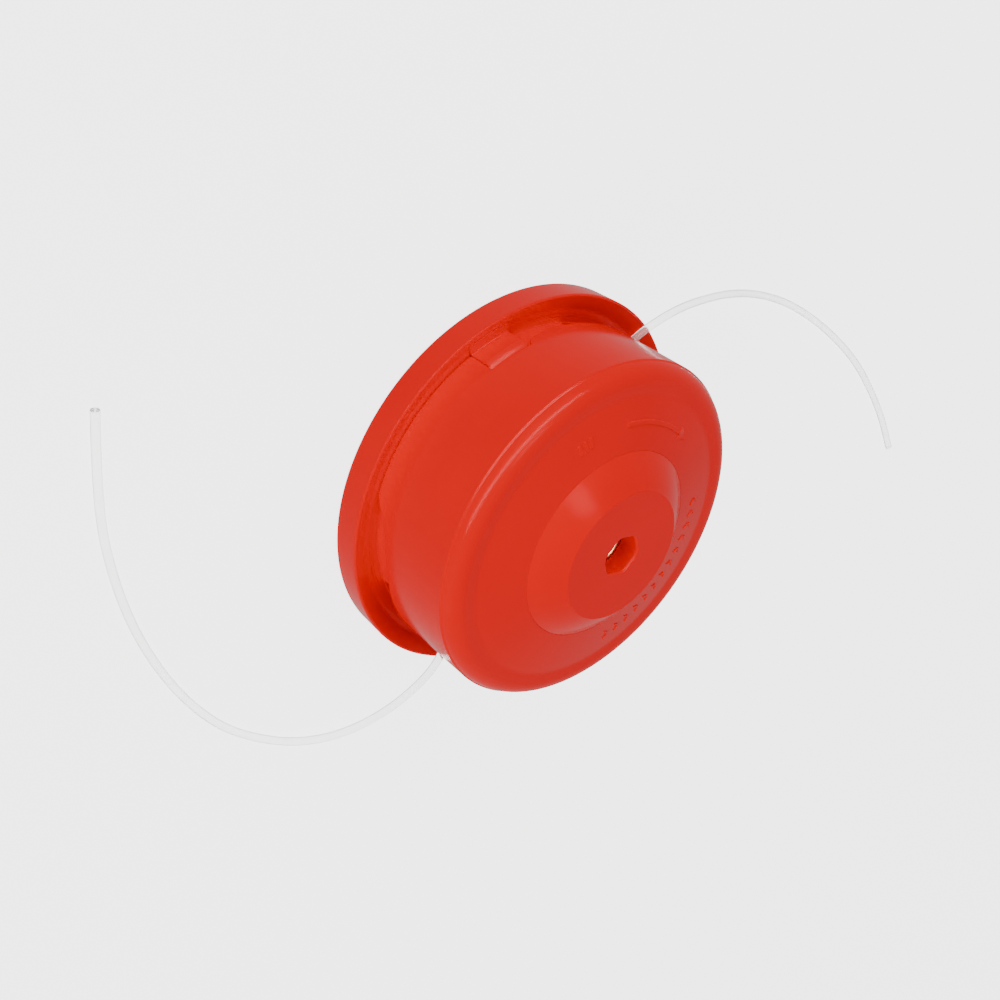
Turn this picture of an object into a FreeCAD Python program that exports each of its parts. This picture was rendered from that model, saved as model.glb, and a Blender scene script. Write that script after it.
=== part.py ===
import FreeCAD, Part
import math
import os

import Sketcher
from FreeCAD import Placement, Rotation, Vector

# Cutting head of a string trimmer. +Z is the spin axis, from the flat back of
# the flange (z = 0, where the head meets the gearbox) towards the bump knob.
# The two latch tabs lie on -Y and +Y. All sizes are in millimetres and degrees.

SIZES = {
    # cup
    "cup_radius": 53.75,
    "cup_draft": 0.65,
    "cup_wall": 2.6,
    "cup_rim_gap": 1.7,
    "band_height": 6.5,
    "band_inset": 0.8,
    "cup_height": 43.1,
    "shoulder_round": 5.8,
    "shoulder_crease": 1.3,
    "ring_width": 1.5,
    "ring_slope": 0.3,
    "corner_fill": 3.0,
    "dish_depth": 1.0,
    "dish_rise": 4.4,
    "window_height": 6.7,
    "window_centre": 31.0,
    "window_span": 106.0,
    "cup_rib_angle": 2.4,
    "cup_rib_depth": 1.9,
    "cup_rib_drop": 10.1,
    "cup_rib_count": 6,
    "seat_gap": 0.1,
    "lug_angle": 14.0,
    "lug_count": 6,
    "lug_knob_gap": 2.9,
    "lug_width": 6.5,
    "lug_gap": 0.3,
    "spool_lug_rise": 2.6,
    # flange of the housing
    "flange_reach": 6.25,
    "flange_taper": 0.6,
    "flange_front": 9.3,
    "flange_round": 1.4,
    "lip_width": 4.4,
    "lip_chamfer": 0.8,
    "lip_drop": 0.3,
    "gutter_depth": 4.1,
    "pocket_depth": 2.4,
    "pocket_inner": 19.0,
    "pocket_inset": 0.3,
    "back_rib_angle": 5.0,
    "back_rib_count": 12,
    "housing_hub_radius": 13.0,
    "housing_hub_top": 12.0,
    "hub_rib_angle": 9.0,
    "hub_rib_centre": 30.0,
    "hub_rib_reach": 2.4,
    "hub_rib_drop": 1.6,
    "hub_rib_count": 6,
    # collar that the cup fits over, with the slots that the line leaves by
    "collar_gap": 0.2,
    "collar_wall": 2.0,
    "collar_height": 9.6,
    "slot_rise": 1.8,
    "slot_height": 5.6,
    "slot_centre": 32.0,
    "slot_span": 56.0,
    # latch tabs
    "tab_span": 14.4,
    "tab_side_gap": 0.3,
    "tab_pivot_inset": 1.4,
    "tab_pivot_drop": 1.3,
    "tab_barrel_radius": 1.5,
    "barrel_inset": 0.4,
    "barrel_end_gap": 0.3,
    "tab_root_rise": 0.25,
    "tab_face_rise": 0.1,
    "tab_flare_reach": 0.3,
    "tab_flare_rise": 1.0,
    "tab_front_gap": 0.3,
    "tab_flat": 1.4,
    "tab_step": 0.1,
    "tab_bevel_drop": 1.0,
    "tab_bevel_height": 2.2,
    "tab_bevel_reach": 0.7,
    "tab_tongue": 1.8,
    "tab_tongue_rise": 6.4,
    "tab_heel_reach": 0.2,
    "tab_heel_drop": 3.0,
    "notch_gap": 0.3,
    "nose_reach": 1.1,
    "nose_height": 3.2,
    "nose_flat": 1.0,
    "nose_span": 9.0,
    "nose_side_gap": 1.0,
    "nose_gap": 0.3,
    "pivot_gap": 0.05,
    # arbor and its thread
    "arbor_radius": 8.5,
    "arbor_low": 0.2,
    "arbor_top": 22.0,
    "insert_gap": 0.05,
    "vent_radius": 2.0,
    "drill_point": 2.0,
    "arbor_hex_radius": 11.0,
    "arbor_hex_low": 3.0,
    "arbor_hex_high": 8.0,
    "journal_radius": 5.0,
    "journal_drop": 6.2,
    "journal_chamfer": 0.8,
    "thread_radius": 4.33,
    "thread_depth": 18.0,
    # bearing bush
    "bush_radius": 7.5,
    "bush_web_gap": 0.3,
    "bush_chamfer": 0.5,
    "running_gap": 0.05,
    # spool
    "spool_wall_gap": 2.3,
    "spool_floor_gap": 4.4,
    "spool_drop": 5.5,
    "spool_plate": 1.5,
    "divider_rise": 13.3,
    "spool_bore": 16.0,
    "spool_core": 18.5,
    "web_drop": 8.0,
    "web_thick": 2.6,
    "web_bore": 6.2,
    "line_notch_angle": 7.0,
    "line_notch_depth": 4.5,
    # bump knob
    "knob_radius": 29.6,
    "knob_gap": 0.2,
    "knob_top_radius": 21.5,
    "knob_rise": 6.6,
    "knob_flank_bow": 12.0,
    "knob_edge_round": 0.8,
    "knob_wall": 2.4,
    "knob_post_radius": 10.5,
    "knob_rib_angle": 5.0,
    "knob_rib_count": 6,
    "knob_ceiling": 7.0,
    "knob_inner_drop": 3.0,
    "knob_head_gap": 0.3,
    "knob_pilot_radius": 3.0,
    "hex_across": 11.5,
    "hex_depth": 6.6,
    # spring and washer
    "washer_radius": 13.6,
    "washer_bore": 8.9,
    "washer_thick": 1.0,
    "spring_radius": 11.4,
    "spring_wire": 1.4,
    "spring_turns": 5,
    "spring_end_gap": 0.05,
    # cutting line
    "line_diameter": 2.4,
    "turn_gap": 0.5,
    "winding_inset": 9.8,
    "winding_gap": 0.25,
    # how far a joined form reaches into its neighbour, and a cut past its piece
    "bite": 0.5,
    "overcut": 1.0,
}

# Free line ends: points of each route, chosen by hand, in millimetres. Each
# leaves the head through a collar slot, crosses the flange's rim and comes down
# to the surface that the head stands on.
LINE_END_A = [
    (33.6, 33.9, 10.4), (37.6, 38.2, 11.2), (42.6, 42.2, 12.4), (50.2, 45.6, 12.4),
    (62.0, 50.0, 10.0), (75.5, 51.6, 6.0), (88.5, 46.6, 2.8), (99.5, 35.5, 1.3),
    (109.5, 19.5, 1.3), (117.0, -4.0, 1.3), (120.6, -32.0, 1.3), (119.0, -60.0, 1.3),
    (114.0, -81.0, 1.3), (107.9, -99.1, 1.3),
]
LINE_END_B = [
    (-42.1, -22.4, 10.4), (-47.6, -25.4, 11.2), (-54.5, -27.2, 12.4), (-63.5, -26.4, 12.2),
    (-75.0, -21.8, 10.0), (-93.5, -11.6, 6.0), (-111.0, 1.6, 2.8), (-127.0, 17.0, 1.3),
    (-143.5, 38.0, 1.3), (-158.4, 61.8, 1.3), (-168.2, 84.2, 1.3), (-175.2, 104.0, 1.3),
    (-178.8, 119.5, 1.3),
]

LEAST_RADIUS_IN_DIAMETERS = 5.0
ARC_SHARE = 0.45
SAMPLES_PER_TURN = 300
HALF_TURN = 180.0
FULL_TURN = 360.0
TAB_SIDE = -90.0
EDGE_TOLERANCE = 1e-4


class Length:
    """A size: its value, and the same formula as an expression on the sheet."""

    def __init__(self, value, text):
        self.value = value
        self.text = text

    def join(self, other, sign, value):
        return Length(value, "(%s %s %s)" % (self.text, sign, size(other).text))

    def __add__(self, other):
        return self.join(other, "+", self.value + size(other).value)

    def __sub__(self, other):
        return self.join(other, "-", self.value - size(other).value)

    def __mul__(self, other):
        return self.join(other, "*", self.value * size(other).value)

    def __truediv__(self, other):
        return self.join(other, "/", self.value / size(other).value)


def size(thing):
    """Any number or Length as a Length."""
    if isinstance(thing, Length):
        return thing
    return Length(float(thing), "%.6f" % thing)


class SheetSizes:
    """The driving dimensions, read by name from the document's sheet."""

    def __init__(self, doc):
        sheet = doc.addObject("Spreadsheet::Sheet", "Sizes")
        for row, (name, value) in enumerate(SIZES.items(), start=1):
            sheet.set("A%d" % row, name)
            sheet.set("B%d" % row, repr(value))
            sheet.setAlias("B%d" % row, name)
        doc.recompute()

    def __getattr__(self, name):
        return Length(float(SIZES[name]), "Sizes." + name)


doc = FreeCAD.newDocument("TrimmerHead")
S = SheetSizes(doc)

# Radii that follow from the cup: the flange round it, the collar and the spool
# inside it, and the latch tabs between the collar and the flange's lip.
CUP_RIM_RADIUS = S.cup_radius - S.cup_draft
CUP_INNER = CUP_RIM_RADIUS - S.cup_wall
FLANGE_RADIUS = S.cup_radius + S.flange_reach
LIP_RADIUS = FLANGE_RADIUS - S.lip_width
COLLAR_RADIUS = CUP_INNER - S.collar_gap
TAB_PIVOT_RADIUS = LIP_RADIUS - S.tab_pivot_inset
TAB_FLARE_RADIUS = LIP_RADIUS + S.tab_flare_reach
SPOOL_RADIUS = CUP_INNER - S.cup_rib_depth - S.spool_wall_gap
LUG_INNER = S.knob_radius + S.lug_knob_gap
LUG_OUTER = LUG_INNER + S.lug_width

# Heights from the flange up to the latch tabs.
FLOOR_TOP = S.flange_front - S.gutter_depth
COLLAR_TOP = FLOOR_TOP + S.collar_height
SLOT_LOW = FLOOR_TOP + S.slot_rise
CUP_RIM = FLOOR_TOP + S.cup_rim_gap
TAB_PIVOT_HEIGHT = FLOOR_TOP - S.tab_pivot_drop
TAB_BEVEL_LOW = COLLAR_TOP - S.tab_bevel_drop
TAB_BEVEL_TOP = TAB_BEVEL_LOW + S.tab_bevel_height
TAB_TOP = TAB_BEVEL_TOP + S.tab_tongue_rise
NOSE_LOW = TAB_TOP - S.nose_height

# Heights from the cup's face down through the spool and the bush.
CUP_FACE = S.cup_height - S.dish_depth
KNOB_FACE = CUP_FACE + S.dish_rise
KNOB_HEIGHT = KNOB_FACE + S.knob_rise
BUSH_TOP = KNOB_HEIGHT - S.hex_depth - S.knob_head_gap
SPOOL_LOW = FLOOR_TOP + S.spool_floor_gap
SPOOL_TOP = S.cup_height - S.spool_drop
DIVIDER_LOW = SPOOL_LOW + S.divider_rise
WEB_TOP = SPOOL_TOP - S.web_drop
WEB_LOW = WEB_TOP - S.web_thick


# Helpers


def bind(thing, prop, length):
    """Set a property and bind it to the sheet."""
    length = size(length)
    setattr(thing, prop, length.value)
    thing.setExpression(prop, length.text)


def new_body(name):
    return doc.addObject("PartDesign::Body", name)


def origin_part(body, role):
    return [part for part in body.Origin.OriginFeatures if part.Role == role][0]


def bind_point(sketch, segment, end, radius, height):
    """Hold one end of a segment at a radius and a height."""
    for kind, length in (("DistanceX", size(radius)), ("DistanceY", size(height))):
        index = sketch.addConstraint(
            Sketcher.Constraint(kind, -1, 1, segment, end, length.value))
        sketch.setExpression("Constraints[%d]" % index, length.text)


def arc_between(start, end, bow):
    """Arc of radius |bow| from start to end, centre on the left for plus."""
    along = end - start
    half = along.Length / 2
    left = Vector(-along.y, along.x, 0).normalize()
    offset = math.copysign(math.sqrt(bow * bow - half * half), bow)
    centre = start + along * 0.5 + left * offset
    first, last = (start, end) if bow > 0 else (end, start)
    circle = Part.Circle(centre, Vector(0, 0, 1), abs(bow))
    return Part.ArcOfCircle(circle, circle.parameter(first),
                            circle.parameter(last))


def outline(body, name, corners, turn=0.0):
    """Closed sketch of radius and height corners in a plane through the axis.

    A corner may hold a third value, the radius of the arc that leads to the
    next corner: plus with its centre on the left of the way, minus on the right.
    """
    sketch = body.newObject("Sketcher::SketchObject", name)
    sketch.AttachmentSupport = [(origin_part(body, "XZ_Plane"), "")]
    sketch.MapMode = "FlatFace"
    sketch.AttachmentOffset = Placement(Vector(), Rotation(Vector(0, 1, 0), turn))
    points = [Vector(size(c[0]).value, size(c[1]).value, 0) for c in corners]
    count = len(corners)
    starts = []
    ends = []
    for index, corner in enumerate(corners):
        start, end = points[index], points[(index + 1) % count]
        bow = size(corner[2]).value if len(corner) > 2 else 0.0
        if bow:
            sketch.addGeometry(arc_between(start, end, bow), False)
            radius = corner[2] if bow > 0 else size(corner[2]) * -1
            rule = sketch.addConstraint(Sketcher.Constraint("Radius", index, abs(bow)))
            sketch.setExpression("Constraints[%d]" % rule, size(radius).text)
        else:
            sketch.addGeometry(Part.LineSegment(start, end), False)
        starts.append(1 if bow >= 0 else 2)
        ends.append(2 if bow >= 0 else 1)
    for index in range(count):
        following = (index + 1) % count
        sketch.addConstraint(Sketcher.Constraint(
            "Coincident", index, ends[index], following, starts[following]))
        bind_point(sketch, index, starts[index], corners[index][0], corners[index][1])
    return sketch


def turned(body, name, corners, kind="Revolution"):
    """Full turn of an outline round the axis, added or cut."""
    sketch = outline(body, name + "_outline", corners)
    feature = body.newObject("PartDesign::" + kind, name)
    feature.Profile = sketch
    feature.ReferenceAxis = (sketch, ["V_Axis"])
    feature.Angle = FULL_TURN
    doc.recompute()
    return feature


def sectors(body, name, kind, corners, centre, span, count):
    """Part turns of an outline, added or cut, spaced evenly round the axis."""
    sketch = outline(body, name + "_outline", corners)
    sketch.setExpression("AttachmentOffset.Rotation.Angle", size(centre).text)
    sketch.AttachmentOffset = Placement(
        Vector(), Rotation(Vector(0, 1, 0), size(centre).value))
    feature = body.newObject("PartDesign::" + kind, name)
    feature.Profile = sketch
    feature.ReferenceAxis = (sketch, ["V_Axis"])
    feature.Midplane = True
    bind(feature, "Angle", span)
    if size(count).value < 2:
        doc.recompute()
        return feature
    pattern = body.newObject("PartDesign::PolarPattern", name + "_ring")
    pattern.Originals = [feature]
    pattern.Axis = (origin_part(body, "Z_Axis"), [""])
    pattern.Angle = FULL_TURN
    pattern.Occurrences = int(size(count).value)
    pattern.setExpression("Occurrences", size(count).text)
    body.Tip = pattern
    doc.recompute()
    return pattern


def box_outline(inner, outer, low, high):
    """Corners of a plain band from inner to outer radius."""
    return [(inner, low), (outer, low), (outer, high), (inner, high)]


def ring_edges(shape, radius, height):
    """Names of the circular edges of one radius at one height."""
    found = []
    for index, edge in enumerate(shape.Edges, start=1):
        curve = edge.Curve
        if not isinstance(curve, Part.Circle):
            continue
        same_height = abs(curve.Center.z - size(height).value) < EDGE_TOLERANCE
        if same_height and abs(curve.Radius - size(radius).value) < EDGE_TOLERANCE:
            found.append("Edge%d" % index)
    return found


def rounded(body, name, places, radius, kind="Fillet"):
    """Fillet or chamfer on the ring edges at the given radii and heights."""
    doc.recompute()
    base = body.Tip
    names = []
    for place_radius, place_height in places:
        names += ring_edges(base.Shape, place_radius, place_height)
    feature = body.newObject("PartDesign::" + kind, name)
    feature.Base = (base, names)
    bind(feature, "Radius" if kind == "Fillet" else "Size", radius)
    doc.recompute()
    return feature


def cylinder(name, radius, low, high):
    """Round bar along the axis."""
    bar = doc.addObject("Part::Cylinder", name)
    bind(bar, "Radius", radius)
    bind(bar, "Height", size(high) - low)
    bar.setExpression("Placement.Base.z", size(low).text)
    return bar


def hexagon(name, corner_radius, low, high):
    """Six-sided bar along the axis, with corners on -Y and +Y."""
    bar = doc.addObject("Part::Prism", name)
    bar.Polygon = 6
    bind(bar, "Circumradius", corner_radius)
    bind(bar, "Height", size(high) - low)
    bar.Placement = Placement(Vector(0, 0, size(low).value), Rotation(30, 0, 0))
    bar.setExpression("Placement.Base.z", size(low).text)
    return bar


def joined(kind, name, base, tools):
    """Boolean of a base with one tool or several."""
    tool = tools[0]
    if len(tools) > 1:
        tool = doc.addObject("Part::MultiFuse", name + "_tools")
        tool.Shapes = tools
    result = doc.addObject("Part::" + kind, name + "_" + kind.lower())
    result.Base = base
    result.Tool = tool
    doc.recompute()
    return result


def named(feature, label):
    """Give a finished sub-part the name of its node."""
    feature.Label = label
    return feature


def solid_feature(label, shape):
    """Sub-part whose shape is worked out in code."""
    feature = doc.addObject("Part::Feature", label)
    feature.Shape = shape
    feature.Label = label
    feature.Placement = Placement()
    return feature


# Latch tabs


def tab_barrel(name, gap, length):
    """Round root of a latch tab, along X at the tab on the -Y side."""
    barrel = doc.addObject("Part::Cylinder", name)
    bind(barrel, "Radius", S.tab_barrel_radius + gap)
    bind(barrel, "Height", length)
    barrel.Placement = Placement(
        Vector(-size(length).value / 2, -TAB_PIVOT_RADIUS.value,
               TAB_PIVOT_HEIGHT.value), Rotation(Vector(0, 1, 0), 90))
    barrel.setExpression("Placement.Base.x", (size(length) * -0.5).text)
    barrel.setExpression("Placement.Base.y", (TAB_PIVOT_RADIUS * -1).text)
    barrel.setExpression("Placement.Base.z", TAB_PIVOT_HEIGHT.text)
    return barrel


def tab_barrel_length():
    """Length of the root, worked out from the angle that the tab spans."""
    return TAB_PIVOT_RADIUS * S.tab_span * (math.pi / HALF_TURN) - S.barrel_inset * 2


def latch_tab(label, turn):
    """Push tab that rises from the flange and snaps into the cup's wall."""
    body = new_body(label + "_body")
    tongue_face = COLLAR_RADIUS
    tongue_back = tongue_face - S.tab_tongue
    root_low = TAB_PIVOT_HEIGHT + S.tab_root_rise
    face = CUP_RIM_RADIUS + S.tab_face_rise
    root_in = TAB_PIVOT_RADIUS - S.tab_barrel_radius + S.tab_step
    root_out = TAB_PIVOT_RADIUS + S.tab_barrel_radius - S.tab_step
    sectors(body, label + "_leaf", "Revolution", [
        (root_in, root_low),
        (root_out, root_low),
        (root_out, FLOOR_TOP + S.tab_flare_rise),
        (TAB_FLARE_RADIUS, FLOOR_TOP + S.tab_flare_rise * 2),
        (TAB_FLARE_RADIUS, S.flange_front - S.tab_step,
         TAB_FLARE_RADIUS - COLLAR_RADIUS),
        (face, TAB_BEVEL_LOW - S.tab_flat),
        (face, TAB_BEVEL_LOW),
        (tongue_face + S.tab_bevel_reach, TAB_BEVEL_TOP),
        (tongue_face, TAB_BEVEL_TOP),
        (tongue_face, TAB_TOP),
        (tongue_back, TAB_TOP),
        (tongue_back, COLLAR_TOP),
        (tongue_face + S.tab_heel_reach, COLLAR_TOP - S.tab_heel_drop),
    ], TAB_SIDE, S.tab_span, 1)
    nose_face = CUP_INNER + S.nose_reach
    nose_top = TAB_TOP - S.tab_step
    sectors(body, label + "_nose", "Revolution", [
        (tongue_face - S.bite, NOSE_LOW),
        (nose_face, NOSE_LOW),
        (nose_face, NOSE_LOW + S.nose_flat),
        (tongue_face - S.tab_step, nose_top),
        (tongue_face - S.bite, nose_top),
    ], TAB_SIDE, S.nose_span, 1)
    barrel = tab_barrel(label + "_barrel", 0, tab_barrel_length())
    tab = joined("Fuse", label, body, [barrel])
    tab.Placement = Placement(Vector(), Rotation(Vector(0, 0, 1), turn))
    return named(tab, label)


# Housing


def upper_housing():
    """Flange with its rim, gutter, collar, hub and ribbed back."""
    body = new_body("housing_body")
    collar_inner = COLLAR_RADIUS - S.collar_wall
    lip_top = S.flange_front - S.lip_drop
    bore = S.arbor_radius + S.insert_gap
    turned(body, "housing_form", [
        (bore, 0),
        (FLANGE_RADIUS - S.flange_taper, 0),
        (FLANGE_RADIUS, S.flange_front),
        (LIP_RADIUS, lip_top),
        (LIP_RADIUS, FLOOR_TOP),
        (COLLAR_RADIUS, FLOOR_TOP),
        (COLLAR_RADIUS, COLLAR_TOP),
        (collar_inner, COLLAR_TOP),
        (collar_inner, FLOOR_TOP),
        (S.housing_hub_radius, FLOOR_TOP),
        (S.housing_hub_radius, S.housing_hub_top),
        (bore, S.housing_hub_top),
    ])
    rounded(body, "rim_round", [(FLANGE_RADIUS, S.flange_front)], S.flange_round)
    rounded(body, "lip_edge", [(LIP_RADIUS, lip_top)], S.lip_chamfer, "Chamfer")
    pitch = size(FULL_TURN) / S.back_rib_count
    sectors(body, "back_pockets", "Groove", box_outline(
        S.pocket_inner, COLLAR_RADIUS - S.pocket_inset, S.overcut * -1, S.pocket_depth),
        pitch / 2, pitch - S.back_rib_angle, S.back_rib_count)
    sectors(body, "hub_ribs", "Revolution", [
        (S.housing_hub_radius - S.bite, FLOOR_TOP - S.bite),
        (S.housing_hub_radius + S.hub_rib_reach, FLOOR_TOP - S.bite),
        (S.housing_hub_radius + S.hub_rib_reach, FLOOR_TOP),
        (S.housing_hub_radius - S.bite, S.housing_hub_top - S.hub_rib_drop),
    ], S.hub_rib_centre, S.hub_rib_angle, S.hub_rib_count)
    sectors(body, "line_slots", "Groove", box_outline(
        collar_inner - S.overcut, COLLAR_RADIUS + S.bite, SLOT_LOW, SLOT_LOW + S.slot_height),
        S.slot_centre, S.slot_span, 2)
    tab_opening = S.tab_span + S.tab_side_gap * 2
    sectors(body, "tab_openings", "Groove", box_outline(
        TAB_PIVOT_RADIUS - S.tab_barrel_radius - S.overcut,
        TAB_FLARE_RADIUS + S.tab_front_gap, TAB_PIVOT_HEIGHT,
        COLLAR_TOP + S.overcut), TAB_SIDE, tab_opening, 2)
    sectors(body, "collar_gaps", "Groove", box_outline(
        collar_inner - S.overcut, TAB_PIVOT_RADIUS, FLOOR_TOP,
        COLLAR_TOP + S.overcut), TAB_SIDE, tab_opening, 2)
    sockets = []
    for name, turn in (("socket_a", 0), ("socket_b", HALF_TURN)):
        socket = tab_barrel(name, S.pivot_gap, tab_socket_length())
        holder = doc.addObject("Part::MultiFuse", name + "_holder")
        holder.Shapes = [socket, socket_mouth(name + "_mouth")]
        holder.Placement = Placement(Vector(), Rotation(Vector(0, 0, 1), turn))
        sockets.append(holder)
    pocket = hexagon("arbor_pocket", S.arbor_hex_radius + S.insert_gap * 2,
                     S.arbor_hex_low - S.insert_gap, S.arbor_hex_high + S.insert_gap)
    return named(joined("Cut", "housing", body, sockets + [pocket]), "upper_housing")


def tab_socket_length():
    """Length of the socket that a tab's root turns in."""
    return tab_barrel_length() + S.barrel_end_gap * 2


def socket_mouth(name):
    """Straight way up out of a tab's round socket."""
    width = S.tab_barrel_radius * 2 + S.pivot_gap * 2
    length = tab_socket_length()
    mouth = doc.addObject("Part::Box", name)
    bind(mouth, "Length", length)
    bind(mouth, "Width", width)
    bind(mouth, "Height", FLOOR_TOP - TAB_PIVOT_HEIGHT + S.overcut)
    mouth.setExpression("Placement.Base.x", (length * -0.5).text)
    mouth.setExpression("Placement.Base.y",
                        (TAB_PIVOT_RADIUS * -1 - width * 0.5).text)
    mouth.setExpression("Placement.Base.z", TAB_PIVOT_HEIGHT.text)
    return mouth


def drive_arbor():
    """Threaded boss moulded into the hub, with the journal that the bush rides on."""
    body = new_body("arbor_body")
    journal_top = BUSH_TOP - S.journal_drop
    turned(body, "arbor_form", [
        (S.thread_radius, S.arbor_low),
        (S.arbor_radius, S.arbor_low),
        (S.arbor_radius, S.arbor_top),
        (S.journal_radius, S.arbor_top),
        (S.journal_radius, journal_top - S.journal_chamfer),
        (S.journal_radius - S.journal_chamfer, journal_top),
        (S.vent_radius, journal_top),
        (S.vent_radius, S.thread_depth + S.drill_point),
        (S.thread_radius, S.thread_depth),
    ])
    flats = hexagon("arbor_flats", S.arbor_hex_radius, S.arbor_hex_low, S.arbor_hex_high)
    core = cylinder("arbor_core", S.arbor_radius - S.bite, 0, S.arbor_top)
    collar = joined("Cut", "arbor_collar", flats, [core])
    return named(joined("Fuse", "arbor", body, [collar]), "drive_arbor")


def spring_washer():
    """Steel washer under the feed spring."""
    body = new_body("washer_body")
    turned(body, "washer_form", box_outline(
        S.washer_bore, S.washer_radius, S.housing_hub_top,
        S.housing_hub_top + S.washer_thick))
    return named(body, "spring_washer")


# Cup


def cup():
    """Lower cover with its dished face, windows, notches and inner lugs."""
    body = new_body("cup_body")
    band_top = CUP_RIM + S.band_height
    shoulder_rise = S.shoulder_round - S.shoulder_crease
    shoulder_bow = (S.shoulder_round * S.shoulder_round
                    + shoulder_rise * shoulder_rise) / (shoulder_rise * 2)
    ring_inner = S.cup_radius - S.shoulder_round - S.ring_width
    opening = S.knob_radius + S.knob_gap
    turned(body, "cup_form", [
        (CUP_INNER, CUP_RIM),
        (CUP_RIM_RADIUS - S.band_inset, CUP_RIM, S.band_height * 2),
        (CUP_RIM_RADIUS, band_top),
        (S.cup_radius, S.cup_height - shoulder_rise, shoulder_bow),
        (S.cup_radius - S.shoulder_round, S.cup_height),
        (ring_inner, S.cup_height),
        (ring_inner - S.ring_slope, CUP_FACE),
        (opening, KNOB_FACE),
        (opening, KNOB_FACE - S.cup_wall),
        (ring_inner - S.ring_slope, CUP_FACE - S.cup_wall),
        (CUP_INNER, CUP_FACE - S.cup_wall - S.corner_fill),
    ])
    sectors(body, "cup_ribs", "Revolution", box_outline(
        CUP_INNER - S.cup_rib_depth, CUP_INNER + S.bite, COLLAR_TOP + S.seat_gap,
        S.cup_height - S.cup_rib_drop), 0, S.cup_rib_angle, S.cup_rib_count)
    sectors(body, "cup_lugs", "Revolution", [
        (LUG_INNER, SPOOL_TOP + S.lug_gap),
        (LUG_OUTER, SPOOL_TOP + S.lug_gap),
        (LUG_OUTER, CUP_FACE),
        (LUG_INNER, CUP_FACE + S.dish_rise / 2),
    ], 0, S.lug_angle, S.lug_count)
    sectors(body, "cup_windows", "Groove", box_outline(
        CUP_INNER - S.overcut, S.cup_radius + S.overcut, CUP_RIM - S.overcut,
        CUP_RIM + S.window_height), S.window_centre, S.window_span, 2)
    sectors(body, "tab_notches", "Groove", box_outline(
        CUP_INNER - S.bite, S.cup_radius + S.overcut, CUP_RIM - S.overcut,
        TAB_BEVEL_TOP + S.notch_gap), TAB_SIDE, S.tab_span + S.tab_side_gap * 2, 2)
    sectors(body, "nose_pockets", "Groove", box_outline(
        CUP_INNER - S.bite, CUP_INNER + S.nose_reach + S.nose_gap, NOSE_LOW - S.nose_gap,
        TAB_TOP + S.nose_gap * 2), TAB_SIDE, S.nose_span + S.nose_side_gap * 2, 2)
    return named(body, "cup")


# Spool, knob and bush


def spool():
    """Two-chamber spool with its hub, web and line notches."""
    body = new_body("spool_body")
    divider_top = DIVIDER_LOW + S.spool_plate
    turned(body, "spool_form", [
        (S.spool_bore, SPOOL_LOW),
        (SPOOL_RADIUS, SPOOL_LOW),
        (SPOOL_RADIUS, SPOOL_LOW + S.spool_plate),
        (S.spool_core, SPOOL_LOW + S.spool_plate),
        (S.spool_core, DIVIDER_LOW),
        (SPOOL_RADIUS, DIVIDER_LOW),
        (SPOOL_RADIUS, divider_top),
        (S.spool_core, divider_top),
        (S.spool_core, SPOOL_TOP - S.spool_plate),
        (SPOOL_RADIUS, SPOOL_TOP - S.spool_plate),
        (SPOOL_RADIUS, SPOOL_TOP),
        (S.spool_bore, SPOOL_TOP),
        (S.spool_bore, WEB_TOP),
        (S.web_bore, WEB_TOP),
        (S.web_bore, WEB_LOW),
        (S.spool_bore, WEB_LOW),
    ])
    sectors(body, "spool_lugs", "Revolution", box_outline(
        LUG_INNER, LUG_OUTER, SPOOL_TOP - S.bite, SPOOL_TOP + S.spool_lug_rise),
        size(FULL_TURN) / S.lug_count / 2, S.lug_angle, S.lug_count)
    sectors(body, "line_notches", "Groove", box_outline(
        SPOOL_RADIUS - S.line_notch_depth, SPOOL_RADIUS + S.overcut,
        DIVIDER_LOW - S.bite, divider_top + S.bite),
        S.slot_centre, S.line_notch_angle, 2)
    return named(body, "spool")


def bump_knob():
    """Knob that stands out of the cup's face and carries the hexagonal socket."""
    body = new_body("knob_body")
    base = SPOOL_TOP
    inner = S.knob_radius - S.knob_wall
    ceiling = KNOB_HEIGHT - S.knob_ceiling
    bore = S.bush_radius + S.running_gap
    bore_top = BUSH_TOP + S.knob_head_gap
    rib_top = KNOB_FACE - S.knob_inner_drop
    turned(body, "knob_form", [
        (inner, base),
        (S.knob_radius, base),
        (S.knob_radius, KNOB_FACE, S.knob_flank_bow * -1),
        (S.knob_top_radius, KNOB_HEIGHT),
        (S.knob_pilot_radius, KNOB_HEIGHT),
        (S.knob_pilot_radius, bore_top),
        (bore, bore_top),
        (bore, WEB_TOP),
        (S.knob_post_radius, WEB_TOP),
        (S.knob_post_radius, ceiling),
        (S.knob_top_radius - S.knob_wall, ceiling),
        (inner, rib_top),
    ])
    rounded(body, "knob_edge", [(S.knob_top_radius, KNOB_HEIGHT)], S.knob_edge_round)
    sectors(body, "knob_ribs", "Revolution", box_outline(
        S.knob_post_radius - S.bite, inner + S.bite, base, rib_top),
        0, S.knob_rib_angle, S.knob_rib_count)
    corner = S.hex_across / math.sqrt(3.0)
    socket = hexagon("hex_socket", corner, bore_top - S.overcut,
                     KNOB_HEIGHT + S.overcut)
    return named(joined("Cut", "knob", body, [socket]), "bump_knob")


def bearing_bush():
    """Brass bush that slides on the journal and that the spool turns on."""
    body = new_body("bush_body")
    bore = S.journal_radius + S.running_gap
    turned(body, "bush_form", [
        (bore, WEB_TOP + S.bush_web_gap),
        (S.bush_radius, WEB_TOP + S.bush_web_gap),
        (S.bush_radius, BUSH_TOP - S.bush_chamfer),
        (S.bush_radius - S.bush_chamfer, BUSH_TOP),
        (bore + S.bush_chamfer, BUSH_TOP),
        (bore, BUSH_TOP - S.bush_chamfer),
    ])
    return named(body, "bearing_bush")


# Wound and free pieces


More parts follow.
